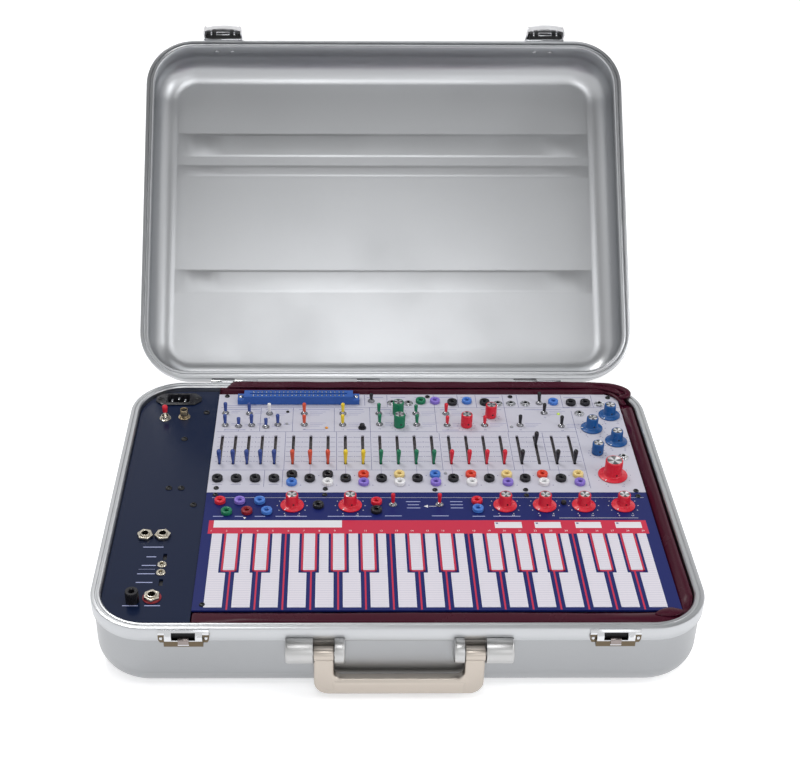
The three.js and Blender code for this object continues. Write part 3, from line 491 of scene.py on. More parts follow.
def map_round(obj):
    """A map seen from above, with its zero at the piece's own middle."""
    layer = obj.data.uv_layers.new(name="round_map")
    for loop in obj.data.loops:
        point = obj.data.vertices[loop.vertex_index].co
        layer.data[loop.index].uv = (point.x / MM, point.y / MM)
    return obj


GROUPS = {}
FINISHES = {}
# Metals: key, name, colour, roughness, scale of the grain, relief and swing of the tone
METALS = (
    # The handle's warm brown tint on silver is a painted reflection of warm surroundings.
    ("handle", "warm_silver", (0.50, 0.45, 0.40), 0.32, 1500.0, 0.08, 0.04),
    ("bracket", "cool_silver", (0.48, 0.48, 0.48), 0.32, 1500.0, 0.08, 0.04),
    ("chrome", "chrome_plate", (0.60, 0.61, 0.63), 0.12, 500.0, 0.02, 0.02),
    ("bush", "bush_plate", (0.40, 0.40, 0.42), 0.14, 500.0, 0.03, 0.04),
    ("spun", "spun_cap", (0.86, 0.86, 0.88), 0.20, 2500.0, 0.05, 0.03),
    ("nickel", "nickel_plate", (0.58, 0.54, 0.46), 0.18, 900.0, 0.04, 0.03),
    # The keeper is chrome: its plate and tab are painted dark warm brown as a painted reflection and
    # painted shade.
    ("keeper", "keeper_plate", (0.13, 0.102, 0.068), 0.28, 900.0, 0.08, 0.08),
    ("tab", "keeper_tab_plate", (0.27, 0.235, 0.225), 0.22, 900.0, 0.05, 0.05),
    ("cover", "latch_cover_metal", (0.93, 0.93, 0.95), 0.42, 1200.0, 0.05, 0.03),
    ("brass", "warm_brass", (0.50, 0.41, 0.27), 0.18, 900.0, 0.04, 0.04),
)
# Sheet of both halves and their rims: key, name, tone, roughness, grain, relief, and for the
# broad sheets a smaller swing of the roughness with broader marks. The tone is painted light:
# the tray's sheet is a darker copy of the aluminium as painted shade, and its rim a lighter
# copy as a painted highlight.
SHEET_MARKS = {"rough_swing": 0.05, "marks": 9.0}
SHEETS = (
    ("aluminium", "satin_aluminium", 1.0, 0.34, 1400.0, 0.07, SHEET_MARKS),
    ("rim", "rim_aluminium", 1.05, 0.30, 1200.0, 0.06, {}),
    ("tray", "tray_aluminium", 0.80, 0.36, 1400.0, 0.07, SHEET_MARKS),
    ("tray_rim", "tray_rim_aluminium", 1.12, 0.32, 1200.0, 0.06, {}),
)
# Glossy plastics that the settings don't hold: colour and roughness
PLASTICS = {
    "violet": ((0.25, 0.17, 0.62), 0.28), "sky": ((0.065, 0.20, 0.62), 0.28),
    "cream": ((0.80, 0.62, 0.26), 0.30), "scarlet": ((0.72, 0.06, 0.03), 0.28),
    "dark_red": ((0.26, 0.01, 0.02), 0.28),
}
LENSES = {"amber": (0.70, 0.28, 0.02), "lime": (0.62, 0.85, 0.10), "grey": (0.32, 0.33, 0.36)}
INKS = {
    "line_blue": (0.055, 0.06, 0.22), "faint_blue": (0.18, 0.19, 0.40),
    "faint_white": (0.42, 0.46, 0.72), "paper": (0.74, 0.74, 0.78),
}


def build_finishes():
    scene = bpy.context.scene
    case, panels, controls = scene.synth_case, scene.synth_panels, scene.synth_controls
    GROUPS.update(build_groups())
    made = {}
    for key, name, tone, roughness, grain, bump, more in SHEETS:
        made[key] = make_finish(
            name, shade(case.metal, tone), roughness, 1.0, grain, bump, 0.03, **more)
    for key, name, colour, roughness, grain, bump, swing in METALS:
        made[key] = make_finish(name, colour, roughness, 1.0, grain, bump, swing)
    made["pale"] = make_finish(
        "pale_paint", panels.pale, 0.42, grain=2600.0, swing=0.035, shine=0.25)
    made["navy"] = make_finish(
        "navy_paint", panels.navy, 0.36, grain=2600.0, swing=0.05, shine=0.2)
    made["side"] = make_finish(
        "side_paint", panels.side, 0.20, grain=2200.0, bump=0.03, swing=0.03,
        rough_swing=0.03, marks=5.0, shine=0.2)
    made["band"] = make_finish(
        "red_band_paint", panels.band, 0.40, grain=2600.0, bump=0.04, swing=0.05)
    made["vinyl"] = make_finish(
        "maroon_vinyl", (0.052, 0.004, 0.015), 0.22, grain=520.0, bump=0.30, swing=0.18,
        rough_swing=0.12, marks=30.0, shine=0.17)
    made["connector"] = make_finish("connector_blue", (0.030, 0.105, 0.40), 0.36, grain=1600.0)
    made["board"] = make_finish("board_and_pan", (0.25, 0.27, 0.26), 0.5, 0.6)
    # Near black: the lens of one unlit lamp, and painted shade in socket floors, keeper windows and
    # latch cores.
    made["dark"] = make_finish("dark_hole", (0.004, 0.004, 0.005), 0.6)
    made["key"] = make_finish(
        "key_plate", (0.72, 0.71, 0.79), 0.36, grain=2200.0, bump=0.04, swing=0.04)
    made["blackened"] = make_finish(
        "blackened_steel", (0.012, 0.012, 0.014), 0.24, 0.3, grain=1800.0, bump=0.08)
    for key in ("red", "blue", "navy_blue", "green", "orange", "yellow", "black", "white"):
        made[key] = make_finish(
            key + "_plastic", getattr(controls, key), 0.24, grain=1500.0, bump=0.04,
            swing=0.05, rough_swing=0.14, coat=0.06, marks=60.0)
    for key, (colour, roughness) in PLASTICS.items():
        made[key] = make_finish(
            key + "_plastic", colour, roughness, swing=0.05, coat=0.05, marks=60.0)
    for key, colour in LENSES.items():
        made[key] = make_finish(key + "_lens", colour, 0.18, coat=0.4)
    for key, colour in INKS.items():
        made[key] = make_finish(key + "_ink", colour, 0.5, grain=3000.0, swing=0.08)
    made["key_field"] = make_striped(
        "key_field", (0.72, 0.69, 0.76), (0.52, 0.50, 0.61), 3.05, 0.13)
    made["slot_strip"] = make_striped(
        "slot_strip", (0.028, 0.027, 0.030), (0.16, 0.14, 0.14), 2.4, 0.35)
    # The knob caps' crossed bright wedges are a painted highlight, a painted reflection of the lamps.
    made["disc"] = make_wedges("turned_disc", (0.86, 0.86, 0.88), (0.20, 0.20, 0.21))
    FINISHES.update(made)


# The stage, light and camera

CAMERA_PLACE = (-0.0543, -1.1035, 0.8962)
CAMERA_ANGLES = (57.926, -0.3125, -0.4376)
CAMERA_LENS = 63.08
CAMERA_SHIFT = 0.0625
# Light that the floor gives off where it is seen, strength of the room's light on the object,
# and how bright its ceiling looks, where its walls look white
FLOOR_LEVEL = 0.50
ROOM_LEVEL = 0.50
CEILING_LEVEL = 0.12


def seen_directly(tree):
    """A mask for rays from the camera, off a mirror or through glass."""
    path = add_node(tree, "LightPath")
    first = add_node(tree, "Math", operation="MAXIMUM")
    second = add_node(tree, "Math", operation="MAXIMUM")
    link(
        tree, (path, "Is Camera Ray", first, 0), (path, "Is Glossy Ray", first, 1),
        (first, "Value", second, 0), (path, "Is Transmission Ray", second, 1))
    return second


def add_floor():
    free_hand()
    bpy.ops.mesh.primitive_plane_add(size=9.0, location=(0, 0, -0.0004))
    floor = bpy.context.active_object
    floor.name = "floor"
    settle(floor)
    material, tree, shader = new_tree("pale_floor")
    shader.inputs["Base Color"].default_value = (0.93, 0.93, 0.94, 1.0)
    shader.inputs["Roughness"].default_value = 0.9
    shader.inputs["Specular IOR Level"].default_value = 0.1
    shader.inputs["Emission Color"].default_value = (1.0, 1.0, 1.0, 1.0)
    level = add_node(tree, "Math", operation="MULTIPLY", _1=FLOOR_LEVEL)
    chain(tree, seen_directly(tree), level)
    link(tree, (level, "Value", shader, "Emission Strength"))
    floor.data.materials.append(material)


def add_world(scene):
    world = bpy.data.worlds.new("soft_room")
    scene.world = world
    world.use_nodes = True
    tree = world.node_tree
    background = next(node for node in tree.nodes if node.type == "BACKGROUND")
    background.inputs["Color"].default_value = (1.0, 1.0, 1.0, 1.0)
    place = add_node(tree, "TexCoord")
    parts = add_node(tree, "SeparateXYZ")
    ceiling = add_node(
        tree, "MapRange", interpolation_type="SMOOTHSTEP", From_Min=0.45, From_Max=0.92,
        To_Min=1.0, To_Max=CEILING_LEVEL)
    level = add_node(tree, "MapRange", To_Min=ROOM_LEVEL)
    link(
        tree, (place, "Generated", parts, "Vector"), (parts, "Z", ceiling, "Value"),
        (ceiling, "Result", level, "To Max"), (seen_directly(tree), "Value", level, "Value"),
        (level, "Result", background, "Strength"))


def add_lamps():
    # Name, place, size, power and colour of each lamp
    lamps = (
        ("key_softbox", (-0.78, 1.05, 2.2), (0.55, 0.55), 14.5, (1.0, 0.99, 0.97)),
        ("top_softbox", (0.2, 0.6, 2.6), (1.6, 1.0), 7.0, (0.97, 0.985, 1.0)),
        ("lid_softbox", (-0.02, -1.08, 1.82), (0.75, 0.5), 5.6, (1.0, 1.0, 1.0)),
        ("side_softbox", (1.30, -0.60, 0.95), (0.45, 0.8), 4.5, (1.0, 1.0, 1.0)),
        ("front_softbox", (0.7, -2.3, 1.3), (1.4, 0.9), 3.2, (0.98, 0.99, 1.0)),
    )
    for name, place, size, power, colour in lamps:
        free_hand()
        bpy.ops.object.light_add(type="AREA", location=place)
        lamp = bpy.context.active_object
        lamp.name = name
        lamp.data.shape = "RECTANGLE"
        lamp.data.size = size[0]
        lamp.data.size_y = size[1]
        lamp.data.energy = power
        lamp.data.color = colour
        aim = Vector((0, 0.1, 0.1)) - Vector(place)
        lamp.rotation_euler = aim.to_track_quat("-Z", "Y").to_euler()


def add_camera(scene):
    free_hand()
    bpy.ops.object.camera_add(location=CAMERA_PLACE)
    camera = bpy.context.active_object
    camera.name = "photo_camera"
    camera.data.lens = CAMERA_LENS
    camera.data.sensor_width = 36.0
    camera.data.sensor_fit = "HORIZONTAL"
    camera.data.shift_x = CAMERA_SHIFT
    camera.rotation_euler = [math.radians(angle) for angle in CAMERA_ANGLES]
    camera.data.clip_start = 0.05
    camera.data.clip_end = 30.0
    scene.camera = camera


class SYNTH_OT_stage(bpy.types.Operator):
    """Floor, soft light and the camera at the photo's viewpoint"""
    bl_idname = "synth.stage"
    bl_label = "Stage and camera"

    def execute(self, context):
        scene = context.scene
        scene.view_settings.view_transform = "Standard"
        add_floor()
        add_world(scene)
        add_lamps()
        add_camera(scene)
        return {"FINISHED"}


# Both halves of the case

EDGE_STEPS = 12
CORNER_STEPS = 20


def outline_plate(name, case, inset, height):
    """A flat rounded rectangle, inset from the case's outline."""
    free_hand()
    bpy.ops.mesh.primitive_plane_add(size=1, location=(0, 0, height))
    obj = bpy.context.active_object
    obj.name = name
    obj.scale = (case.width - 2 * inset, case.depth - 2 * inset, 1)
    settle(obj)
    begin_edit(obj)
    bpy.ops.mesh.select_all(action="SELECT")
    bpy.ops.mesh.bevel(
        offset=case.corner - inset, offset_type="OFFSET", segments=CORNER_STEPS,
        affect="VERTICES")
    bpy.ops.mesh.select_all(action="SELECT")
    return obj


def lowest(face):
    return face.normal.z < -0.99 and len(face.verts) > 8


def half_shell(name, case, height):
    """The pressed sheet of one half, flat face down and open at the top."""
    top = height - case.band + 2 * MM
    obj = outline_plate(name, case, case.overhang, case.edge)
    draw_out(z=top - case.edge)
    pick_faces(obj, lowest)
    for step in range(EDGE_STEPS):
        first = step / EDGE_STEPS * math.pi / 2
        second = (step + 1) / EDGE_STEPS * math.pi / 2
        inward = case.edge * (math.cos(first) - math.cos(second))
        fall = case.edge * (math.sin(second) - math.sin(first))
        step_in(inward, fall)
    pick_faces(obj, lambda face: face.normal.z > 0.99 and face.calc_center_median().z > top - MM)
    bpy.ops.mesh.delete(type="FACE")
    end_edit(obj)
    finish_with(obj, "SOLIDIFY", thickness=case.sheet, offset=-1.0, use_even_offset=True)
    return smooth(obj, 40)


def half_rim(name, case, height, groove):
    """The drawn frame round the mouth of one half, with its groove and inner lip."""
    low = height - case.band + 1.2 * MM
    obj = outline_plate(name, case, 0.0, low)
    draw_out(z=case.band - 2.4 * MM)
    for inward, along in (
            (0.5, 0.9), (0.7, 0.3), (2.6, 0.0), (0.5, -groove), (1.0, 0.0),
            (0.4, groove - 0.2), (0.5, 0.2), (1.6, 0.0), (0.5, -0.4)):
        step_in(inward * MM, along * MM)
    step_in(0.7 * MM, -0.9 * MM)
    draw_out(z=-4.4 * MM)
    pick_faces(obj, lowest)
    for inward, along in ((0.5, 0.9), (2.0, 0.3), (1.7, 0.0)):
        step_in(inward * MM, along * MM)
    draw_out(z=7.5 * MM)
    step_in(4.8 * MM)
    pick_faces(obj, lambda face: len(face.verts) > 8)
    bpy.ops.mesh.bridge_edge_loops()
    end_edit(obj)
    return smooth(obj, 32)


def lid_turned(case):
    """Where a half drawn rim up goes as the closed lid, and then opened."""
    turned_over = Matrix.Rotation(math.pi, 4, "X")
    lift = case.rim_below_pin + case.closed_gap + case.lid_height
    shut = Matrix.Translation((0, -HINGE_AXIS.y, lift)) @ turned_over
    return LID_PLACE @ shut


class SYNTH_OT_tray(bpy.types.Operator):
    """Tray of the case: pressed sheet and its rim"""
    bl_idname = "synth.tray"
    bl_label = "Case tray"

    def execute(self, context):
        case = context.scene.synth_case
        shell = half_shell("tray_shell", case, case.tray_height)
        # The tray's sheet wears the darker copy of the aluminium as painted shade, and its rim the
        # lighter copy as a painted highlight.
        wear(shell, "tray", "case", ["case_tray"])
        rim = half_rim("tray_rim", case, case.tray_height, 0.5)
        wear(rim, "tray_rim", "case")
        return {"FINISHED"}


# Pressed beads of the lid: distance of the middle from the pin, width and rise in millimetres
LID_BEADS = ((126.0, 28.0, 0.5), (259.5, 15.0, 0.28), (291.0, 30.0, 0.5))


def add_beads(case, opened):
    for number, (middle, width, rise) in enumerate(LID_BEADS, 1):
        y = middle * MM - case.depth / 2
        name = "lid_bead_" + str(number)
        half = width / 2 * MM
        reach = case.width / 2 - 27 * MM
        bead = plain_box(
            name, (-reach, y - half, case.sheet - 0.5 * MM),
            (reach, y + half, case.sheet + 0.02 * MM))
        begin_edit(bead)
        pick_faces(bead, lambda face: face.normal.z > 0.99)
        for share in (0.12, 0.28, 0.33, 0.20, 0.07):
            step_in(0.8 * MM, rise * share * MM)
            bpy.ops.transform.resize(
                value=(0.95, 1, 1), center_override=(0, y, case.sheet))
        end_edit(bead)
        smooth(bead, 60)
        settle(bead, opened)
        wear(bead, "aluminium", "lid")


class SYNTH_OT_lid(bpy.types.Operator):
    """Lid of the case, with its rim and pressed beads"""
    bl_idname = "synth.lid"
    bl_label = "Case lid"

    def execute(self, context):
        case = context.scene.synth_case
        opened = lid_turned(case)
        shell = half_shell("lid_sheet", case, case.lid_height)
        rim = half_rim("lid_rim", case, case.lid_height, 1.7)
        for obj in (shell, rim):
            settle(obj, opened)
        wear(shell, "aluminium", "lid", ["lid_shell"])
        wear(rim, "rim", "lid")
        add_beads(case, opened)
        return {"FINISHED"}


# Panels

def slider_columns():
    """Group, number and place of each slider, in millimetres from the panels' left edge."""
    columns = [("blue", number + 1, 8.9 + 13.85 * number) for number in range(5)]
    start = 0
    for group, count in (("orange", 3), ("yellow", 2), ("green", 4), ("red", 4), ("black", 4)):
        for number in range(count):
            columns.append((group, number + 1, 82.8 + 17.87 * (start + number)))
        start += count
    return columns


SLOT_Y = (50.6, 103.0)
REST_Y = 53.3


def trimmed_plate(name, case, panels, low_y, high_y, top, bottom):
    """A panel's plate, cut off where the case's corners come close."""
    plate = plain_box(name, (panels.left, low_y, bottom), (panels.right, high_y, top))
    room = outline_plate(name + "_room", case, 13 * MM, bottom - MM)
    draw_out(z=top - bottom + 2 * MM)
    end_edit(room)
    return cut_away(plate, room, "INTERSECT")


class SYNTH_OT_upper_panel(bpy.types.Operator):
    """Upper panel with its slider slots"""
    bl_idname = "synth.upper_panel"
    bl_label = "Upper panel"

    def execute(self, context):
        case = context.scene.synth_case
        panels = context.scene.synth_panels
        bottom = panels.top - panels.thickness
        plate = trimmed_plate(
            "upper_plate", case, panels, panels.split + 0.15 * MM, panels.rear, panels.top, bottom)
        master = soft_box(
            "slot_cutter", at(-1.6, SLOT_Y[0], 60), at(1.6, SLOT_Y[1], 80), 1.2 * MM, 3)
        cutters = []
        for _, _, x in slider_columns():
            place = Vector((panels.left + x * MM, 0, 0))
            cutters.append(twin(master, "slot_cutter", place))
        discard(master)
        cutters += bore_cutters(panels.split / MM, panels.rear / MM)
        hole = turned("button_hole", ((BUTTON_HOLE, -4.0), (BUTTON_HOLE, 4.0)), 32)
        cutters.append(settle(hole, at(*BUTTON_PLACE, panels.top / MM)))
        cut_away(plate, joined("slot_cutters", cutters))
        soften(plate, 0.25 * MM, 2, 50)
        wear(plate, "pale", "case", ["upper_panel"])
        strip = soft_box(
            "slider_dust_strip", (panels.left + 4 * MM, 46 * MM, bottom - 2.2 * MM),
            (panels.left + 400 * MM, 108 * MM, bottom - 1.2 * MM), 0.2 * MM)
        wear(strip, "slot_strip", "case")
        return {"FINISHED"}


def add_keys(panels):
    top = panels.top / MM
    for white in range(WHITE_COUNT):
        x = panels.left / MM + KEY_LEFT + white * KEY_PITCH
        name = "white_key_%02d" % (white + 1)
        key_plate(panels, name, x, white, 0.0, top - 0.4, top + 0.5, "key")
        key_plate(panels, name + "_field", x, white, 0.9, top, top + 0.53, "key_field")
    for side in range(1, WHITE_COUNT):
        if has_sharp(side):
            x = sharp_middle(panels, side)
            low = at(x - SHARP_WIDTH / 2, SHARP_FRONT, top - 0.4)
            high = at(x + SHARP_WIDTH / 2, KEY_REAR, top + 0.5)
            sharp = soft_box("sharp_key_%02d" % side, low, high, 0.2 * MM)
            wear(sharp, "key", "case")
            low += at(0.8, 0.8, 0.4)
            high += at(-0.8, -0.8, 0.03)
            field = plain_box("sharp_key_%02d_field" % side, low, high)
            wear(field, "key_field", "case")


def key_plate(panels, name, x, white, shrink, bottom, top, colour):
    low = at(x + shrink, KEY_FRONT + shrink, bottom)
    high = at(x + KEY_WIDTH - shrink, KEY_REAR - shrink, top)
    key = plain_box(name, low, high)
    room = SHARP_WIDTH / 2 + SHARP_CLEAR + shrink
    for side in (white, white + 1):
        if has_sharp(side):
            middle = sharp_middle(panels, side)
            cut_away(key, plain_box(
                "sharp_room", at(middle - room, SHARP_FRONT - SHARP_CLEAR - shrink, 60),
                at(middle + room, KEY_REAR + 5, 80)))
    if not shrink:
        smooth(soften(key, 0.2 * MM, 2, 50), 40)
    return wear(key, colour, "case")


class SYNTH_OT_keyboard_panel(bpy.types.Operator):
    """Keyboard panel with its touch keys"""
    bl_idname = "synth.keyboard_panel"
    bl_label = "Keyboard panel"

    def execute(self, context):
        case = context.scene.synth_case
        panels = context.scene.synth_panels
        bottom = panels.top - panels.thickness
        plate = trimmed_plate(
            "keyboard_plate", case, panels, panels.front, panels.split - 0.15 * MM,
            panels.top, bottom)
        cut_away(plate, joined("bores", bore_cutters(panels.front / MM, panels.split / MM)))
        soften(plate, 0.25 * MM, 2, 50)
        wear(plate, "navy", "case", ["keyboard_panel"])
        add_keys(panels)
        return {"FINISHED"}


WHITE_COUNT = 17
KEY_PITCH = 24.57
KEY_WIDTH = 16.27
KEY_LEFT = 10.15
KEY_FRONT = -165.3
KEY_REAR = -61.5
SHARP_WIDTH = 10.5
SHARP_FRONT = -114.4
SHARP_CLEAR = 4.1
# How far each sharp stands from the middle of its gap, by its place in the octave
SHARP_SHIFTS = (0.0, -1.4, 2.6, 0.0, -2.2, 0.5, 3.5)


def has_sharp(side):
    """A sharp stands between two whites except twice in an octave and at both ends."""
    return 0 < side < WHITE_COUNT and side % 7 not in (0, 3)


def gap_middle(panels, side):
    """Middle of the gap left of a white key, in millimetres."""
    return panels.left / MM + KEY_LEFT + side * KEY_PITCH - (KEY_PITCH - KEY_WIDTH) / 2


def sharp_middle(panels, side):
    return gap_middle(panels, side) + SHARP_SHIFTS[side % 7]


class SYNTH_OT_side_plate(bpy.types.Operator):
    """Plate left of the panels, following the rim"""
    bl_idname = "synth.side_plate"
    bl_label = "Side plate"

    def execute(self, context):
        case = context.scene.synth_case
        panels = context.scene.synth_panels
        bottom = panels.side_top - panels.thickness
        plate = plain_box(
            "side_plate", (-case.width / 2, -case.depth / 2, bottom),
            (panels.left - 0.3 * MM, case.depth / 2, panels.side_top))
        room = outline_plate("side_room", case, 9.3 * MM, bottom - MM)
        draw_out(z=4 * MM)
        end_edit(room)
        cut_away(plate, room, "INTERSECT")
        inlet = plain_box("inlet_room", at(-239.3, 161.5, 60), at(-210.7, 182.1, 80))
        cut_away(plate, joined("side_holes", [inlet] + side_cutters()))
        soften(plate, 0.25 * MM, 2, 50)
        wear(plate, "side", "case", ["side_panel"])
        return {"FINISHED"}


# Controls

GROUP_FINISH = {
    "blue": "navy_blue", "orange": "orange", "yellow": "yellow", "green": "green",
    "red": "red", "black": "black",
}


class SYNTH_OT_sliders(bpy.types.Operator):
    """Slider caps, each on its own slide"""
    bl_idname = "synth.sliders"
    bl_label = "Slider caps"

    def execute(self, context):
        panels = context.scene.synth_panels
        controls = context.scene.synth_controls
        tall = controls.slider_height / MM
        cap = turned("slider_master", (
            (1.0, -5.0), (1.0, 0.4), (1.25, 0.5), (1.3, 1.5), (1.7, 0.30 * tall),
            (2.2, 0.55 * tall), (2.5, 0.75 * tall), (2.55, 0.86 * tall), (2.3, 0.94 * tall),
            (1.7, 0.98 * tall), (0.9, tall)), sides=20, stretch=(0.92, 1.08))
        smooth(cap, 50)
        for group, number, x in slider_columns():
            name = "slider_" + group + "_" + str(number)
            raised = 32.2 if name == "slider_black_2" else 0.0
            place = Vector((panels.left + x * MM, (REST_Y + raised) * MM, panels.top))
            piece = twin(cap, name + "_cap", place)
            wear(piece, GROUP_FINISH[group], name, [name])
        discard(cap)
        return {"FINISHED"}


# Knobs: name, place from the middle in millimetres, form and finish
KNOBS = (
    ("green_1", (11.0, 144.4), "plain", "green"), ("green_2", (11.5, 120.5), "plain", "green"),
    ("red_1", (82.1, 120.5), "plain", "red"), ("red_2", (109.4, 138.5), "plain", "red"),
    ("blue_1", (236.1, 140.6), "skirted", "blue"), ("blue_2", (213.5, 116.0), "skirted", "blue"),
    ("blue_3", (235.2, 91.6), "skirted", "blue"), ("blue_4", (212.5, 70.8), "short", "blue"),
    ("master", (221.8, 32.2), "master", "red"),
    ("portamento", (-97.5, -17.8), "skirted", "red"), ("transpose", (-41.3, -17.8), "skirted", "red"),
    ("octave", (108.9, -17.8), "skirted", "red"), ("preset_1", (147.3, -17.8), "skirted", "red"),
    ("preset_2", (185.3, -17.8), "skirted", "red"), ("preset_3", (223.7, -17.8), "skirted", "red"),
)
# Radius of the body, radius of the skirt and height of each form, in millimetres
KNOB_FORMS = {
    "plain": (6.0, 0.0, 15.0), "short": (6.0, 0.0, 13.0), "skirted": (6.1, 11.4, 14.0),
    "master": (8.7, 14.6, 18.5),
}


def add_marks(name, middle, body, skirt):
    """The white line on the skirt and the screw that holds the knob."""
    place = Matrix.Translation(middle)
    if skirt:
        aim = -95 if name == "knob_blue_2" else -140
        line = soft_box(
            name + "_line", at(-0.5, body + 1.6, 1.2), at(0.5, skirt - 0.1, 1.75), 0.15 * MM)
        settle(line, place @ Matrix.Rotation(-math.radians(aim), 4, "Z"))
        wear(line, "white", name)
    screw = rod(
        name + "_screw", 1.0, 0.8, (0, -body + 0.3, 5.2), 16, (math.pi / 2, 0, 0))
    soften(screw, 0.15 * MM)
    wear(settle(screw, place @ Matrix.Rotation(0.25, 4, "Z")), "blackened", name)


def draw_knob(form, body, skirt, height):
    if skirt:
        outline = (
            (skirt - 0.3, 0.3), (skirt, 0.5), (skirt, 1.1), (skirt - 0.4, 1.4),
            (body + 1.6, 2.1), (body + 0.5, 2.6), (body + 0.1, 3.4), (body, height - 1.0),
            (body - 0.25, height - 0.4), (body - 0.7, height), (body - 1.2, height),
            (body - 1.2, height - 0.6))
    else:
        outline = (
            (body - 0.3, 0.3), (body, 0.6), (body, height - 1.0), (body - 0.25, height - 0.4),
            (body - 0.7, height), (body - 1.2, height), (body - 1.2, height - 0.6))
    return smooth(turned("knob_master_" + form, outline, sides=48), 40)


class SYNTH_OT_knobs(bpy.types.Operator):
    """Round knobs with spun caps, skirts and pointer lines"""
    bl_idname = "synth.knobs"
    bl_label = "Knobs"

    def execute(self, context):
        panels = context.scene.synth_panels
        for form, (body, skirt, height) in KNOB_FORMS.items():
            master = draw_knob(form, body, skirt, height)
            cap = turned("knob_disc", (
                (body - 1.2, height - 0.5), (body - 1.2, height - 0.1), (body - 1.5, height + 0.0),
                (0.8, height - 0.2)), sides=40)
            map_round(smooth(cap, 40))
            for name, _, kind, colour in KNOBS:
                if kind != form:
                    continue
                body_name = "knob_" + name
                low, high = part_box(body_name)
                middle = Vector(((low[0] + high[0]) / 2, (low[1] + high[1]) / 2, panels.top))
                piece = twin(master, body_name + "_body", middle)
                wear(piece, colour, body_name, [body_name])
                disc = twin(cap, body_name + "_disc", middle)
                # The disc wears the painted highlight of crossed bright wedges.
                wear(disc, "disc", body_name)
                add_marks(body_name, middle, body, skirt)
            discard(master, cap)
        return {"FINISHED"}


# Fittings on the panels, with their places in millimetres

JACK_ROW_Y = 25.0
JACK_PAIR = 6.6
FIRST_JACKS = (-173.0, -154.3, -135.5, -116.8)
JACK_START = -99.1
JACK_PITCH = 17.87
JACK_PAIRS = (
    ("black", "sky"), ("black", "white"), ("scarlet", "violet"), ("cream", "white"),
    ("sky", "violet"), ("scarlet", "white"), ("cream", "violet"), ("scarlet", "white"),
    ("cream", "violet"),
)
TOP_JACKS = (
    ("green", 36.2, 166.3), ("violet", 51.6, 166.3), ("black", 70.1, 163.6), ("sky", 86.0, 166.3),
    ("black", 105.0, 163.6), ("sky", 179.2, 164.6), ("black", 198.1, 162.9),
    ("black", 213.5, 162.9),
)
KEYBOARD_JACKS = (
    ("red", -167.7, -11.8), ("violet", -148.6, -11.8), ("sky", -129.2, -11.8),
    ("green", -160.3, -28.8), ("dark_red", -140.8, -28.0), ("sky", -121.7, -28.0),
    ("black", -72.2, -18.9), ("red", -15.8, -13.3), ("black", -16.1, -26.8),
    ("red", 82.0, -11.9), ("sky", 82.0, -24.7),
)
MINI_JACKS = (
    (5.1, 163.9), (22.6, 163.3), (119.3, 162.6), (133.4, 162.6), (148.9, 162.6),
    (204.6, 143.4), (228.7, 161.9), (237.8, 63.3),
)
JACK_BORE = 2.2
MINI_BORE = 1.8


def jack_places():
    """Colour and place of each patch jack."""
    places = [("black", x, JACK_ROW_Y) for x in FIRST_JACKS]
    for column in range(2 * len(JACK_PAIRS) - 1):
        x = JACK_START + JACK_PITCH * column
        if column % 2:
            places.append(("black", x, JACK_ROW_Y))
        else:
            upper, lower = JACK_PAIRS[column // 2]
            places.append((upper, x, JACK_ROW_Y + JACK_PAIR))
            places.append((lower, x, JACK_ROW_Y - JACK_PAIR))
    return places + list(TOP_JACKS) + list(KEYBOARD_JACKS)


def bore_cutters(low_y, high_y):
    """Round cutters for the jacks that stand between two distances from the middle."""
    cutters = []
    holes = [(x, y, JACK_BORE + 0.3) for _, x, y in jack_places()]
    holes += [(x, y, MINI_BORE + 0.3) for x, y in MINI_JACKS]
    for x, y, radius in holes:
        if low_y < y < high_y:
            cutters.append(rod("bore", radius, 20, (x, y, 70), 16))
    return cutters


def notched_nut(name, outline, reach, notches, sides=32):
    """A round dress nut with notches cut down from its top."""
    nut = turned(name, outline, sides)
    top = max(height for _, height in outline)
    for number in range(notches // 2):
        turn = Matrix.Rotation(math.pi * number / (notches // 2), 4, "Z")
        for side in (-1, 1):
            ends = sorted((side * reach[0], side * reach[1]))
            cutter = plain_box(
                "notch", at(ends[0], -0.55, reach[2]), at(ends[1], 0.55, top + 1))
            cut_away(nut, settle(cutter, turn))
    return smooth(nut, 35)


def ribbed(name, outline, count, depth, sides=48):
    """A turned piece with upright grooves round it."""
    body = turned(name, outline, sides)
    radius = max(radius for radius, height in outline)
    low = min(height for radius, height in outline)
    high = max(height for radius, height in outline)
    cutters = []
    width = math.pi * radius / count * 0.8
    master = plain_box(
        "groove", at(radius - depth, -width / 2, low + 0.6), at(radius + 1, width / 2, high + 1))
    for number in range(count):
        cutters.append(twin(master, "groove", Matrix.Rotation(math.tau * number / count, 4, "Z")))
    discard(master)
    return smooth(cut_away(body, joined("grooves", cutters)), 30)


def cross_screw(name, radius, height):
    """A round head with a cross recess."""
    head = turned(name, (
        (radius, 0.0), (radius, 0.25 * height), (radius * 0.86, 0.7 * height),
        (radius * 0.6, 0.93 * height), (radius * 0.25, height)), 28)
    for half_x, half_y in ((radius * 0.55, radius * 0.13), (radius * 0.13, radius * 0.55)):
        cut_away(head, plain_box(
            "recess", at(-half_x, -half_y, height * 0.45), at(half_x, half_y, height * 2)))
    return smooth(head, 35)


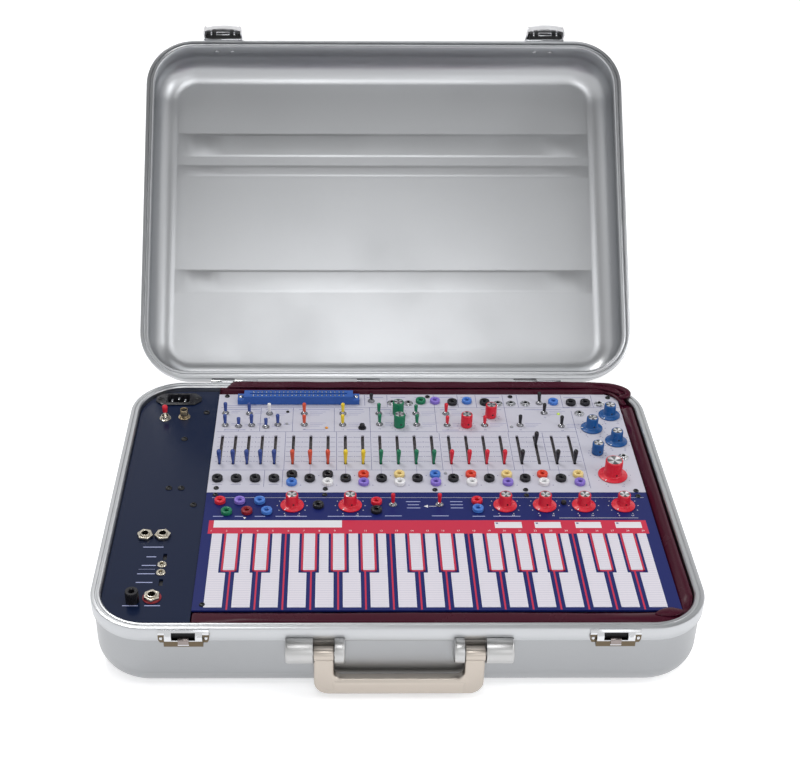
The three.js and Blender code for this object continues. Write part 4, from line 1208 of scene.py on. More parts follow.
class SYNTH_OT_jacks(bpy.types.Operator):
    """Patch jacks: coloured banana jacks and small chrome ones"""
    bl_idname = "synth.jacks"
    bl_label = "Patch jacks"

    def execute(self, context):
        panels = context.scene.synth_panels
        ring = turned("jack_master", (
            (3.0, -7.0), (3.0, 0.1), (5.1, 0.1), (5.4, 0.35), (5.4, 1.3), (5.05, 1.5),
            (5.05, 1.75), (5.4, 1.95), (5.4, 3.2), (5.15, 3.7), (4.6, 4.0), (3.2, 4.0),
            (2.9, 3.8), (2.75, 3.1), (JACK_BORE, 2.9), (JACK_BORE, -6.5)), 36)
        smooth(ring, 40)
        for number, (colour, x, y) in enumerate(jack_places(), 1):
            place = on_panel(panels, x, y)
            piece = twin(ring, "patch_jack_%02d" % number, place)
            wear(piece, colour, "case")
        discard(ring)
        nut = notched_nut("mini_master", (
            (2.9, -6.0), (2.9, 0.1), (5.0, 0.1), (5.2, 0.3), (5.2, 0.8), (4.6, 1.35), (3.3, 1.5),
            (3.2, 2.1), (2.9, 2.4), (2.2, 2.4), (MINI_BORE, 2.1), (MINI_BORE, -5.5)),
            (3.5, 6.0, 0.7), 4)
        places = []
        for number, place in enumerate(MINI_JACKS, 1):
            turn = Matrix.Rotation(0.4 + 0.9 * number, 4, "Z")
            places.append(Matrix.Translation(on_panel(panels, *place)) @ turn)
        copies(nut, "mini_jack_%d", places, "chrome")
        return {"FINISHED"}


# Toggles: colour, place, lean towards the rear in degrees and length of the lever
TOGGLES = (
    ("navy_blue", -172.8, 144.3, 10, 1.0), ("navy_blue", -171.7, 121.2, 10, 1.0),
    ("navy_blue", -157.5, 119.5, 24, 0.75), ("navy_blue", -147.5, 143.3, 10, 1.0),
    ("navy_blue", -144.0, 121.2, 10, 1.0), ("navy_blue", -128.8, 118.2, 24, 0.75),
    ("navy_blue", -116.4, 122.2, 4, 1.0), ("white", -126.1, 143.3, 4, 1.0),
    ("orange", -89.0, 143.3, 8, 1.0), ("orange", -88.6, 122.2, 8, 0.92),
    ("yellow", -47.9, 143.4, 6, 1.0), ("yellow", -48.2, 122.2, 6, 0.95),
    ("black", -17.2, 167.9, -6, 0.8), ("green", -9.6, 143.4, 6, 1.0),
    ("green", -9.3, 123.0, 4, 1.0), ("green", 29.9, 143.4, 4, 0.85),
    ("green", 29.9, 122.2, 4, 1.0), ("red", 62.0, 143.4, 4, 1.0), ("red", 61.9, 121.3, 2, 0.9),
    ("red", 101.4, 121.3, 6, 0.9), ("black", 164.1, 163.6, 24, 1.0),
    ("black", 167.0, 144.5, 4, 0.95), ("black", 138.7, 121.3, 4, 1.0),
    ("black", 182.2, 119.7, 4, 1.0), ("red", 0.2, -16.5, 8, 1.0), ("red", 45.3, -16.5, 8, 1.0),
)


class SYNTH_OT_toggles(bpy.types.Operator):
    """Small toggles: notched nut, chrome bush and coloured sleeve"""
    bl_idname = "synth.toggles"
    bl_label = "Small toggles"

    def execute(self, context):
        panels = context.scene.synth_panels
        controls = context.scene.synth_controls
        nut = notched_nut("toggle_nut_master", (
            (3.6, 0.1), (3.8, 0.25), (3.8, 0.5), (3.1, 0.6), (3.1, 1.5), (2.8, 1.8), (2.2, 1.8),
            (2.1, 2.6), (1.5, 3.0)), (2.45, 5.0, 0.75), 4)
        tall = controls.toggle_height / MM - 1.4
        sleeve = turned("sleeve_master", (
            (0.9, -1.2), (0.95, 0.4), (1.35, 0.6), (1.5, 1.4), (1.85, 0.55 * tall),
            (2.05, 0.80 * tall), (1.95, 0.91 * tall), (1.45, 0.97 * tall), (0.6, tall)), 20)
        smooth(sleeve, 50)
        for number, (colour, x, y, lean, stretch) in enumerate(TOGGLES, 1):
            foot = on_panel(panels, x, y)
            spin = Matrix.Rotation(0.6 * number, 4, "Z")
            piece = twin(nut, "toggle_nut_%02d" % number, Matrix.Translation(foot) @ spin)
            wear(piece, "bush", "case")
            pivot = Matrix.Translation(foot + at(0, 0, 1.4))
            leaning = Matrix.Rotation(-math.radians(lean), 4, "X")
            size = Matrix.Scale(stretch, 4, (0, 0, 1))
            piece = twin(sleeve, "toggle_sleeve_%02d" % number, pivot @ leaning @ size)
            wear(piece, colour, "case")
        discard(nut, sleeve)
        return {"FINISHED"}


PANEL_SCREWS = (
    (-173.2, 177.4), (44.1, 176.4), (134.0, 176.4), (240.0, 174.6), (-173.1, 10.5),
    (-65.6, 9.0), (42.4, 7.5), (131.8, 7.4), (240.4, 5.9), (-173.1, -0.5), (-66.1, -0.5),
    (131.6, -1.4), (240.8, -2.8), (-173.0, -161.7),
)
SIDE_SCREWS = (
    (-219.8, 11.5), (-207.7, 11.5), (-193.3, -15.6), (-212.3, 96.7), (-193.2, 146.5),
)
LAMPS = (
    ("dark", -106.7, 146.8), ("grey", -107.0, 123.9), ("amber", -65.1, 116.4),
    ("grey", 54.5, 34.9), ("grey", 129.4, 118.1), ("lime", 182.1, 142.7),
)
BUTTON_PLACE = (-27.7, 116.3)
BUTTON_HOLE = 3.2
CAP_PLACE = (166.2, -14.4)


def add_button(panels):
    place = on_panel(panels, *BUTTON_PLACE)
    collar = turned("button_collar_master", (
        (4.2, 0.05), (4.2, 0.9), (3.8, 1.5), (0.5, 1.5)), 32)
    cut_away(collar, turned("collar_bore", ((BUTTON_HOLE, -1.0), (BUTTON_HOLE, 3.0)), 32))
    smooth(collar, 35)
    wear(twin(collar, "button_collar", place), "black", "case")
    button = ribbed("button_master", (
        (2.7, 0.5), (2.7, 4.4), (2.4, 4.9), (1.9, 4.9), (1.6, 4.6)), 18, 0.25)
    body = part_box("push_button")
    top = place.z + 4.9 * MM
    place = place + Vector((0, 0, body[1][2] - top))
    piece = twin(button, "push_button_cap", place)
    wear(piece, "black", "push_button", ["push_button"])
    discard(collar, button)


class SYNTH_OT_small_fittings(bpy.types.Operator):
    """Screws, lamps, the push button and the small cap"""
    bl_idname = "synth.small_fittings"
    bl_label = "Screws, lamps and button"

    def execute(self, context):
        panels = context.scene.synth_panels
        screw = cross_screw("screw_master", 2.7, 1.5)
        places = [(x, y, panels.top / MM, 1.0) for x, y in PANEL_SCREWS]
        places += [(x, y, panels.side_top / MM, 1.25) for x, y in SIDE_SCREWS]
        for number, (x, y, z, size) in enumerate(places, 1):
            turn = Matrix.Rotation(0.7 * number, 4, "Z") @ Matrix.Scale(size, 4)
            places[number - 1] = Matrix.Translation(at(x, y, z)) @ turn
        copies(screw, "panel_screw_%02d", places, "blackened")
        lamp = smooth(turned("lamp_master", (
            (1.8, 0.05), (1.8, 0.4), (1.5, 0.6), (1.4, 0.65), (1.3, 1.1), (0.9, 1.5),
            (0.35, 1.7)), 20), 40)
        for number, (colour, x, y) in enumerate(LAMPS, 1):
            place = on_panel(panels, x, y)
            piece = twin(lamp, "lamp_%d" % number, place)
            wear(piece, colour, "case")
        discard(lamp)
        add_button(panels)
        cap = smooth(turned("small_cap", (
            (2.6, 0.05), (2.6, 2.4), (2.3, 3.0), (1.2, 3.2)), 24), 40)
        place = on_panel(panels, *CAP_PLACE)
        wear(twin(cap, "keyboard_cap", place), "black", "case")
        discard(cap)
        return {"FINISHED"}


# Printing on the panels

PRINT_RISE = 0.03


def printed(name, bars, top, colour, body="case"):
    """Ink as one thin relief on a face: each bar is x, y, x, y in millimetres."""
    first = bars[0]
    print_mesh = plain_box(
        name, at(first[0], first[1], top - 0.05), at(first[2], first[3], top + PRINT_RISE))
    begin_edit(print_mesh)
    for x0, y0, x1, y1 in bars[1:]:
        bpy.ops.mesh.primitive_cube_add(
            size=1, location=at((x0 + x1) / 2, (y0 + y1) / 2, top - 0.01),
            scale=(abs(x1 - x0) * MM, abs(y1 - y0) * MM, (PRINT_RISE + 0.05) * MM))
    end_edit(print_mesh)
    return wear(print_mesh, colour, body)


def rules(rows, half):
    """Bars round their middles: each row is x, y and width in millimetres."""
    return [(x - width / 2, y - half, x + width / 2, y + half) for x, y, width in rows]


def printed_dots(name, dots, top, colour, radius):
    """Round ink dots as one thin relief."""
    print_mesh = rod(name, radius, 0.08, (*dots[0], top - 0.01), 12)
    begin_edit(print_mesh)
    for x, y in dots[1:]:
        bpy.ops.mesh.primitive_cylinder_add(
            vertices=12, radius=radius * MM, depth=0.08 * MM, location=at(x, y, top - 0.01))
    end_edit(print_mesh)
    return wear(print_mesh, colour, "case")


def printed_numbers(name, numbers, top, size, colour):
    """Plain figures: each one is its text and its middle in millimetres."""
    pieces = []
    for words, x, y in numbers:
        free_hand()
        bpy.ops.object.text_add(location=(0, 0, 0))
        figure = bpy.context.active_object
        figure.data.body = words
        figure.data.align_x = "CENTER"
        figure.data.align_y = "CENTER"
        figure.data.size = size * MM
        figure.data.extrude = 0.03 * MM
        figure.data.resolution_u = 2
        take(figure)
        bpy.ops.object.convert(target="MESH")
        figure = bpy.context.active_object
        pieces.append(settle(figure, at(x, y, top)))
    return wear(joined(name, pieces), colour, "case")


UPRIGHT_LINES = (
    (-135.2, 110.3, 155.0), (-100.9, 109.5, 155.0), (-57.0, 109.5, 154.5), (-19.2, 110.5, 155.9),
    (50.5, 108.0, 180.5), (76.3, 155.8, 180.5), (96.0, 155.0, 180.5), (125.5, 108.0, 180.5),
    (141.0, 156.0, 180.5), (189.0, 155.0, 180.5), (221.7, 156.0, 180.5), (-24.2, 159.5, 180.5),
    (0.0, 156.8, 180.5), (-107.6, 41.0, 109.3), (-54.6, 41.0, 109.3), (-19.2, 41.0, 110.4),
    (52.5, 41.0, 106.6), (124.6, 41.0, 108.0), (160.2, 41.0, 108.0), (196.5, 10.3, 149.0),
    (-126.6, 12.7, 41.0), (-108.4, 12.7, 41.0),
)
CAPTION_RULES = (
    (-172, -140, 159), (-176, -136, 151.5), (-130, -106, 151.5), (-95, -62, 151.5),
    (-52, -26, 151.5), (-12, 4, 151.5), (56, 74, 151.5), (100, 122, 151.5), (-22, -4, 175.5),
    (4, 20, 175.5), (30, 46, 175.5), (56, 72, 175.5), (80, 92, 175.5), (102, 122, 175.5),
    (146, 186, 151.5), (192, 216, 175.5), (-172, -150, 113), (-90, -66, 113), (-44, -24, 113),
    (56, 74, 112.5),
)
LEVEL_LINES = (
    (-180.0, 196.0, 109.5), (-178.4, 196.0, 155.3), (-180.0, 196.0, 41.1), (189.0, 249.0, 156.0),
)
SCALE_START = 56.0
SCALE_STEP = 8.58
SCALE_COUNT = 6
# Share of the slider pitch that a scale line reaches, for sliders far apart and close together
WIDE_PITCH = 15
WIDE_SCALE = 0.42
CLOSE_SCALE = 0.35
SLOT_CLEAR = 2.1
HALF_LINE = 0.2
CAPTION_TOPS = (100, 160)


def add_scales(panels, top):
    bars = []
    numbers = []
    columns = {}
    for group, _, x in slider_columns():
        columns.setdefault(group, []).append(panels.left / MM + x)
    for group, places in columns.items():
        pitch = places[1] - places[0]
        reach = pitch * (WIDE_SCALE if pitch > WIDE_PITCH else CLOSE_SCALE)
        for line in range(SCALE_COUNT):
            y = SCALE_START + SCALE_STEP * line
            for x in places:
                bars.append((x - reach, y - HALF_LINE, x - SLOT_CLEAR, y + HALF_LINE))
                bars.append((x + SLOT_CLEAR, y - HALF_LINE, x + reach, y + HALF_LINE))
            for x in places[:-1]:
                numbers.append((str(2 * line), x + pitch / 2, y))
    printed("slider_scales", bars, top, "line_blue")
    printed_numbers("slider_figures", numbers, top, 2.6, "line_blue")


def add_leads(top):
    bars = []
    for column in range(1, 2 * len(JACK_PAIRS) - 1, 2):
        x = JACK_START + JACK_PITCH * column
        bars.append((x - 0.15, JACK_ROW_Y + 6, x + 0.15, 49.0))
    dots = []
    for x in FIRST_JACKS:
        bars.append((x - 5, JACK_ROW_Y - 8.6, x + 5, JACK_ROW_Y - 8.2))
    for column in range(0, 2 * len(JACK_PAIRS) - 1):
        x = JACK_START + JACK_PITCH * column
        dots.append((x + 9.0, JACK_ROW_Y + (6.5 if column % 2 else -9.5)))
    printed("jack_leads", bars, top, "line_blue")
    printed_dots("jack_dots", dots, top, "line_blue", 0.55)


def add_captions(top):
    """Short plain rules and figures where each control is marked."""
    bars = []
    numbers = []
    for number, (colour, x, y, _, _) in enumerate(TOGGLES, 1):
        if not CAPTION_TOPS[0] <= y <= CAPTION_TOPS[1]:
            continue
        reach, lines = (9.0, 2) if colour == "navy_blue" else (17.0, 3)
        start = x + 6.0
        for line in range(lines):
            end = start + reach * (1 - 0.2 * line)
            bars.append((start, y + 3.4 - 3.0 * line, end, y + 3.8 - 3.0 * line))
        numbers.append((str(number), x, y - 8.2))
    bars += [(x0, y - 0.35, x1, y + 0.35) for x0, x1, y in CAPTION_RULES]
    printed("caption_rules", bars, top, "faint_blue")
    printed_numbers("caption_figures", numbers, top, 2.8, "line_blue")


class SYNTH_OT_upper_print(bpy.types.Operator):
    """Lines, scales and plain figures on the upper panel"""
    bl_idname = "synth.upper_print"
    bl_label = "Upper panel print"

    def execute(self, context):
        panels = context.scene.synth_panels
        top = panels.top / MM
        bars = [(x - HALF_LINE, y0, x + HALF_LINE, y1) for x, y0, y1 in UPRIGHT_LINES]
        bars += [(x0, y - HALF_LINE, x1, y + HALF_LINE) for x0, x1, y in LEVEL_LINES]
        printed("upper_lines", bars, top, "line_blue")
        add_scales(panels, top)
        add_leads(top)
        add_captions(top)
        return {"FINISHED"}


def ring_of_dots(middle, radius, count, first, last):
    """Places spread evenly on an arc; angles are in degrees clockwise from the rear."""
    places = []
    for number in range(count):
        angle = math.radians(first + (last - first) * number / (count - 1))
        places.append((
            middle[0] + radius * math.sin(angle), middle[1] + radius * math.cos(angle)))
    return places


class SYNTH_OT_dial_print(bpy.types.Operator):
    """Dots and plain figures round the knobs"""
    bl_idname = "synth.dial_print"
    bl_label = "Dial print"

    def execute(self, context):
        panels = context.scene.synth_panels
        top = panels.top / MM
        white_dots = []
        blue_dots = []
        white_numbers = []
        blue_numbers = []
        for _, place, kind, _ in KNOBS:
            body, skirt, _ = KNOB_FORMS[kind]
            radius = (skirt or body) + 3.0
            dots = ring_of_dots(place, radius, 11, -150, 150)
            ends = ring_of_dots(place, radius + 2.6, 11, -158, 158)
            figures = [("0", *ends[0]), ("10", *ends[-1])]
            if place[1] < 0:
                white_dots += dots
                white_numbers += figures
            else:
                blue_dots += dots
                if kind in ("skirted", "master"):
                    blue_numbers += figures
        printed_dots("white_dial_dots", white_dots, top, "white", 0.5)
        printed_dots("blue_dial_dots", blue_dots, top, "line_blue", 0.5)
        printed_numbers("white_dial_figures", white_numbers, top, 2.8, "white")
        printed_numbers("blue_dial_figures", blue_numbers, top, 2.8, "line_blue")
        return {"FINISHED"}


BAND_LOW = -61.3
BAND_HIGH = -40.9
KEYBOARD_RULES = (
    (-168, -34.6, 10), (-148, -34.6, 8), (-128, -34.6, 10), (-98, -34.6, 30), (-42, -34.6, 42),
    (0, -34.0, 16), (45, -34.0, 16), (82, -34.6, 12), (109, -34.6, 26), (20, -11.5, 14),
    (20, -16.5, 11), (20, -21.5, 13), (62, -11.5, 12), (62, -16.5, 12), (62, -21.5, 12),
)
LABEL_BOXES = ((96.0, 121.8), (134.1, 159.0), (172.8, 197.4), (211.0, 235.9))


def add_red_lines(panels, top):
    bars = []
    for side in range(1, WHITE_COUNT):
        middle = gap_middle(panels, side)
        start = BAND_LOW
        if has_sharp(side):
            x = sharp_middle(panels, side)
            low, high = x - SHARP_WIDTH / 2, x + SHARP_WIDTH / 2
            bars.append((low - 1.9, SHARP_FRONT - 1.9, low - 0.1, BAND_LOW))
            bars.append((high + 0.1, SHARP_FRONT - 1.9, high + 1.9, BAND_LOW))
            bars.append((low - 1.9, SHARP_FRONT - 1.9, high + 1.9, SHARP_FRONT - 0.1))
            start = SHARP_FRONT - 1.9
        bars.append((middle - 0.75, KEY_FRONT - 2.9, middle + 0.75, start))
    printed("red_key_lines", bars, top, "band")


def add_white_print(top):
    bars = [(-176.0, -5.15, 246.0, -4.85), (158.9, -37.5, 234.9, -37.1)]
    bars += [(-171.3, -51.9, -49.4, -40.9)]
    bars += [(x0, -52.8, x1, -43.6) for x0, x1 in LABEL_BOXES]
    raised = top + PRINT_RISE
    printed("white_labels", bars[2:], raised, "paper")
    printed("white_rules", bars[:2], top, "white")
    marks = [(x0 + 1.2, -46.4, x0 + 3.4, -44.6) for x0, x1 in LABEL_BOXES]
    printed("label_marks", marks, raised + PRINT_RISE, "line_blue")
    numbers = [(str(number), -173.0 + 14.6 * (number - 1), -57.0) for number in range(1, 30)]
    printed_numbers("key_figures", numbers, raised, 3.2, "white")
    arrow = [(34.8, -19.1, 42.0, -18.5)]
    printed("arrow_line", arrow, top, "white")
    add_triangle("arrow_head", (32.7, -18.8), 2.6, math.pi / 2, top)
    add_triangle("strip_mark", (-142.5, -37.0), 1.8, math.pi, top)
    printed("caption_bars", rules(KEYBOARD_RULES, 0.45), top, "faint_white")


def add_triangle(name, middle, reach, turn, top):
    wear(rod(name, reach, 0.08, (*middle, top - 0.01), 3, (0, 0, turn)), "white", "case")


class SYNTH_OT_keyboard_print(bpy.types.Operator):
    """Red band, outlines, lines and plain figures on the keyboard panel"""
    bl_idname = "synth.keyboard_print"
    bl_label = "Keyboard print"

    def execute(self, context):
        panels = context.scene.synth_panels
        top = panels.top / MM
        printed("red_band", [(-176.0, BAND_LOW, 241.0, BAND_HIGH)], top, "band")
        add_red_lines(panels, top)
        add_white_print(top)
        return {"FINISHED"}


def round_bar(name, radius, left, right, y, z, sides=28, rounding=0.4):
    """A bar along the width, in millimetres, with its ends rounded off."""
    bar = rod(
        name, radius, right - left, ((left + right) / 2, y, z), sides, (0, math.pi / 2, 0))
    return smooth(soften(bar, rounding * MM, 3, 50), 40)


def merged(name, first, *others):
    """One closed body made of pieces that overlap."""
    for other in others:
        cut_away(first, other, "UNION")
    first.name = name
    return first


CONNECTOR_PLACE = (-95.5, 167.4)
CONNECTOR_ROWS = 3.3
CONNECTOR_CONTACTS = 22
CONNECTOR_PITCH = 4.6


class SYNTH_OT_connector(bpy.types.Operator):
    """Card connector with its slot, contacts and screws"""
    bl_idname = "synth.connector"
    bl_label = "Card connector"

    def execute(self, context):
        low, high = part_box("program_connector")
        base, top = low[2] / MM, high[2] / MM
        ears = plain_box("connector_ears", at(-65.5, -6.5, base), at(65.5, 6.5, base + 5.5))
        body = merged(
            "connector_body", plain_box("connector_core", at(-58.5, -6.5, base), at(58.5, 6.5, top)),
            ears)
        cut_away(body, plain_box("card_slot", at(-52.5, -0.9, top - 6), at(52.5, 0.9, top + 1)))
        pits = []
        contacts = []
        for row in (-1, 1):
            for number in range(CONNECTOR_CONTACTS):
                x = (number - (CONNECTOR_CONTACTS - 1) / 2) * CONNECTOR_PITCH
                y = row * CONNECTOR_ROWS
                pits.append(plain_box(
                    "pit", at(x - 1.35, y - 1.2, top - 1.6), at(x + 1.35, y + 1.2, top + 1)))
                contacts.append(plain_box(
                    "contact", at(x - 0.7, y - 1.0, top - 1.9), at(x + 0.7, y + 1.0, top - 0.15)))
        cut_away(body, joined("pits", pits))
        soften(body, 0.35 * MM, 2, 50)
        place = Matrix.Translation(at(*CONNECTOR_PLACE))
        for piece, colour, slot, stands_for in (
                (body, "connector", "connector_blue", ["program_connector"]),
                (joined("connector_contacts", contacts), "spun", "chrome_plate", None)):
            wear(settle(piece, place), colour, "case", stands_for or ())
        screw = cross_screw("connector_screw_master", 2.4, 1.6)
        x, y = CONNECTOR_PLACE
        places = [at(x - 62.0, y, base + 5.5), at(x + 62.0, y, base + 5.5)]
        copies(screw, "connector_screw_%d", places, "chrome")
        return {"FINISHED"}


SWITCH_PLACE = (-236.2, 136.1)
PHONO_PLACE = (-216.2, 138.2)
POST_PLACE = (-235.1, -155.6)
LARGE_JACKS = ((-234.3, -64.3), (-217.7, -64.3), (-218.4, -151.1))
SIDE_MINIS = ((-214.2, -105.8), (-214.1, -117.0))
SIDE_RULES = (
    (-225.0, -79.9, 19), (-225.2, -94.1, 9), (-226.1, -106.4, 13), (-227.4, -118.2, 16),
    (-227.8, -130.2, 15), (-236.5, -161.6, 14), (-217.0, -161.6, 14),
)
SIDE_SLOTS = ((-212.7, -94.1), (-212.7, -130.2))


def side_cutters():
    """Holes of the side plate for its fittings."""
    holes = [(*place, 4.4) for place in (SWITCH_PLACE, PHONO_PLACE)]
    holes += [(*place, 5.0) for place in LARGE_JACKS]
    holes += [(*place, 3.0) for place in SIDE_MINIS]
    cutters = [rod("side_bore", radius, 20, (x, y, 70), 24) for x, y, radius in holes]
    for x, y in SIDE_SLOTS:
        cutters.append(plain_box("slot_hole", at(x - 1.8, y - 4.6, 60), at(x + 1.8, y + 4.6, 80)))
    return cutters


class SYNTH_OT_power_inlet(bpy.types.Operator):
    """Mains inlet: flange, raised mouth, recess and three pins"""
    bl_idname = "synth.power_inlet"
    bl_label = "Mains inlet"

    def execute(self, context):
        low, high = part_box("power_inlet")
        middle = Vector(((low[0] + high[0]) / 2, (low[1] + high[1]) / 2, 0))
        top = high[2] / MM
        bottom = low[2] / MM
        flange = plain_box("inlet_flange", at(-24.4, -11, top - 2), at(24.4, 11, top - 0.7))
        round_edges(flange, upright, 7, 1)
        mouth = plain_box("inlet_mouth", at(-14, -10, bottom), at(14, 10, top))
        round_edges(mouth, upright, 3, 5)
        body = merged("inlet_body", mouth, flange)
        recess = plain_box("inlet_recess", at(-11.7, -7.7, top - 15), at(11.7, 7.7, top + 1))
        round_edges(recess, upright, 2.4, 4)
        cut_away(body, recess)
        smooth(soften(body, 0.4 * MM, 2, 45), 35)
        wear(settle(body, Matrix.Translation(middle)), "black", "case", ["power_inlet"])
        pin = soft_box("pin_master", at(-1, -2.6, top - 15.3), at(1, 2.6, top - 1.6), 0.4 * MM)
        places = [middle + at(x, y) for x, y in ((-7.0, -1.6), (0.0, 2.6), (7.0, -1.6))]
        copies(pin, "inlet_pin_%d", places, "chrome")
        screw = cross_screw("inlet_screw_master", 2.5, 1.3)
        places = [middle + at(x, 0, top - 0.7) for x in (-20.0, 20.0)]
        copies(screw, "inlet_screw_%d", places, "blackened")
        return {"FINISHED"}


def add_switch(top):
    nut = notched_nut("switch_nut", (
        (4.2, -3.0), (4.2, 0.1), (6.0, 0.1), (6.0, 0.6), (5.2, 0.9), (5.0, 1.9), (4.3, 2.2),
        (4.3, 3.7), (4.0, 4.0), (3.3, 4.0), (3.2, 3.6), (3.2, -2.5)), (5.15, 7.0, 0.3), 4)
    wear(twin(nut, "power_switch_nut", at(*SWITCH_PLACE, top)), "nickel", "case")
    discard(nut)
    pivot = Matrix.Translation(joint_place("power_switch_rock"))
    place = pivot @ Matrix.Rotation(-math.radians(12), 4, "X")
    stalk = smooth(turned("switch_stalk", (
        (0.6, -2.6), (2.0, -1.8), (2.6, 0.0), (2.2, 1.4), (1.6, 2.2), (1.7, 7.4)), 24), 50)
    wear(settle(stalk, place), "nickel", "power_switch")
    cap = smooth(turned("power_switch_cap", (
        (1.75, 5.6), (2.25, 5.7), (2.35, 6.4), (2.9, 10.0), (3.0, 11.4), (2.7, 12.7),
        (1.9, 13.5), (0.7, 13.8)), 24), 50)
    wear(settle(cap, place), "red", "power_switch", ["power_switch_lever"])


def add_sockets(top):
    shell = smooth(turned("phono_shell", (
        (4.3, -4.0), (4.3, 0.1), (6.3, 0.1), (6.3, 0.8), (5.8, 1.2), (5.1, 1.3), (5.1, 2.6),
        (4.7, 2.9), (4.2, 3.0), (4.2, 9.5), (3.95, 10.0), (3.4, 10.0), (3.2, 9.6),
        (3.2, 3.0)), 36), 35)
    wear(settle(shell, at(*PHONO_PLACE, top)), "brass", "case")
    core = smooth(turned("phono_core", (
        (3.1, 2.0), (3.1, 8.2), (2.8, 8.6), (1.3, 8.6), (1.1, 8.3), (1.1, 4.0)), 28), 35)
    wear(settle(core, at(*PHONO_PLACE, top)), "black", "case")
    mini = smooth(turned("side_mini_master", (
        (2.9, -5.0), (2.9, 0.1), (4.3, 0.1), (4.3, 0.9), (3.8, 1.5), (2.8, 1.6), (2.7, 2.3),
        (2.3, 2.6), (2.0, 2.5), (1.75, 2.1), (1.75, -4.5)), 32), 35)
    for number, place in enumerate(SIDE_MINIS, 1):
        piece = twin(mini, "side_mini_jack_%d" % number, at(*place, top))
        wear(piece, "nickel", "case")
        add_plug("side_mini_jack_%d_floor" % number, place, 1.8, top - 2.4)
    discard(mini)
    post = ribbed("ground_post", (
        (5.6, 0.1), (6.0, 0.4), (6.0, 11.0), (5.6, 12.0), (3.4, 12.0), (2.6, 11.4),
        (2.6, 6.0)), 22, 0.45)
    wear(settle(post, at(*POST_PLACE, top)), "black", "case")


def add_plug(name, place, radius, height):
    """The dark floor of a socket, a near-black disc painted as the shade deep inside it."""
    floor = turned(name, ((radius, -1.0), (radius, -0.2), (radius * 0.8, 0.0)), 24)
    wear(settle(floor, at(*place, height)), "dark", "case")


def add_large_jacks(top):
    nut = turned("large_nut", ((7.4, 0.1), (7.8, 0.4), (7.8, 3.2), (7.2, 3.9)), 6)
    cut_away(nut, rod("nut_bore", 4.7, 30, (0, 0, 0), 32))
    smooth(soften(nut, 0.3 * MM, 2, 25), 30)
    barrel = smooth(turned("large_barrel", (
        (4.8, -9.0), (4.8, 4.3), (4.5, 4.9), (3.6, 5.0), (3.3, 4.7), (3.25, -8.5)), 36), 35)
    for number, place in enumerate(LARGE_JACKS, 1):
        turn = Matrix.Rotation(0.35 * number, 4, "Z")
        spot = Matrix.Translation(at(*place, top))
        piece = twin(nut, "large_jack_nut_%d" % number, spot @ turn)
        wear(piece, "nickel", "case")
        piece = twin(barrel, "large_jack_%d" % number, spot)
        wear(piece, "nickel", "case")
        add_plug("large_jack_%d_floor" % number, place, 3.3, top - 7.5)
    discard(nut, barrel)
    washer = turned("jack_washer", ((8.2, 0.02), (8.4, 0.15), (8.4, 0.7), (8.1, 0.9)), 40)
    cut_away(washer, rod("washer_bore", 5.0, 30, (0, 0, 0), 32))
    wear(smooth(settle(washer, at(*LARGE_JACKS[2], top)), 35), "dark_red", "case")


def add_slots(top):
    for number, (x, y) in enumerate(SIDE_SLOTS, 1):
        body = plain_box(
            "slide_switch_%d" % number, at(x - 2.2, y - 5.2, top - 6),
            at(x + 2.2, y + 5.2, top - 2.1))
        wear(soften(body, 0.2 * MM), "black", "case")


def add_rules(top):
    printed("side_rules", rules(SIDE_RULES, 0.5), top, "faint_white")
    printed("side_line", [(-235.0, -112.0, -220.0, -111.7)], top, "faint_white")


class SYNTH_OT_side_fittings(bpy.types.Operator):
    """Mains switch, sockets, post and slots of the side plate"""
    bl_idname = "synth.side_fittings"
    bl_label = "Side fittings"

    def execute(self, context):
        panels = context.scene.synth_panels
        top = panels.side_top / MM
        add_switch(top)
        add_sockets(top)
        add_large_jacks(top)
        add_slots(top)
        add_rules(top)
        return {"FINISHED"}


LINER_INSET = 9.5


def inner_block(name, case, base, height):
    """A block that fills the rim's inner outline."""
    block = outline_plate(name, case, LINER_INSET * MM, base)
    draw_out(z=height)
    return end_edit(block)


def add_roll(case, panels):
    """The strip inside the rim; at the rear it rises to cover the rim's inner wall."""
    base = panels.top - 11 * MM
    roll = inner_block("liner_roll", case, base, panels.top - base - 0.6 * MM)
    rise = inner_block("liner_rise", case, base, case.tray_height - base + 0.2 * MM)
    cut_away(rise, plain_box("before_rear", (-1, -1, 0), (1, 183.8 * MM, 1)))
    cut_away(roll, rise, "UNION")
    corner = inner_block(
        "liner_corner", case, base, case.tray_height - base - 0.8 * MM)
    cut_away(corner, plain_box("before_corner", (-1, -1, 0), (1, 166 * MM, 1)))
    cut_away(corner, plain_box("left_of_corner", (-1, -1, 0), (225 * MM, 1, 1)))
    cut_away(roll, corner, "UNION")
    cut_away(roll, plain_box(
        "panel_room", (-1, panels.front - 0.5 * MM, 0),
        (panels.right + 0.5 * MM, panels.rear + 0.5 * MM, 1)))
    cut_away(roll, plain_box("left_room", (-1, -1, 0), (panels.left, 1, 1)))
    finish_with(roll, "REMESH", mode="VOXEL", voxel_size=1.9 * MM)
    finish_with(roll, "SMOOTH", factor=0.5, iterations=5)
    puff_out(roll)
    add_folds(roll, case, panels)
    finish_with(roll, "SUBSURF", levels=1, render_levels=1)
    wear(smooth(roll, 60), "vinyl", "case", ["liner"])


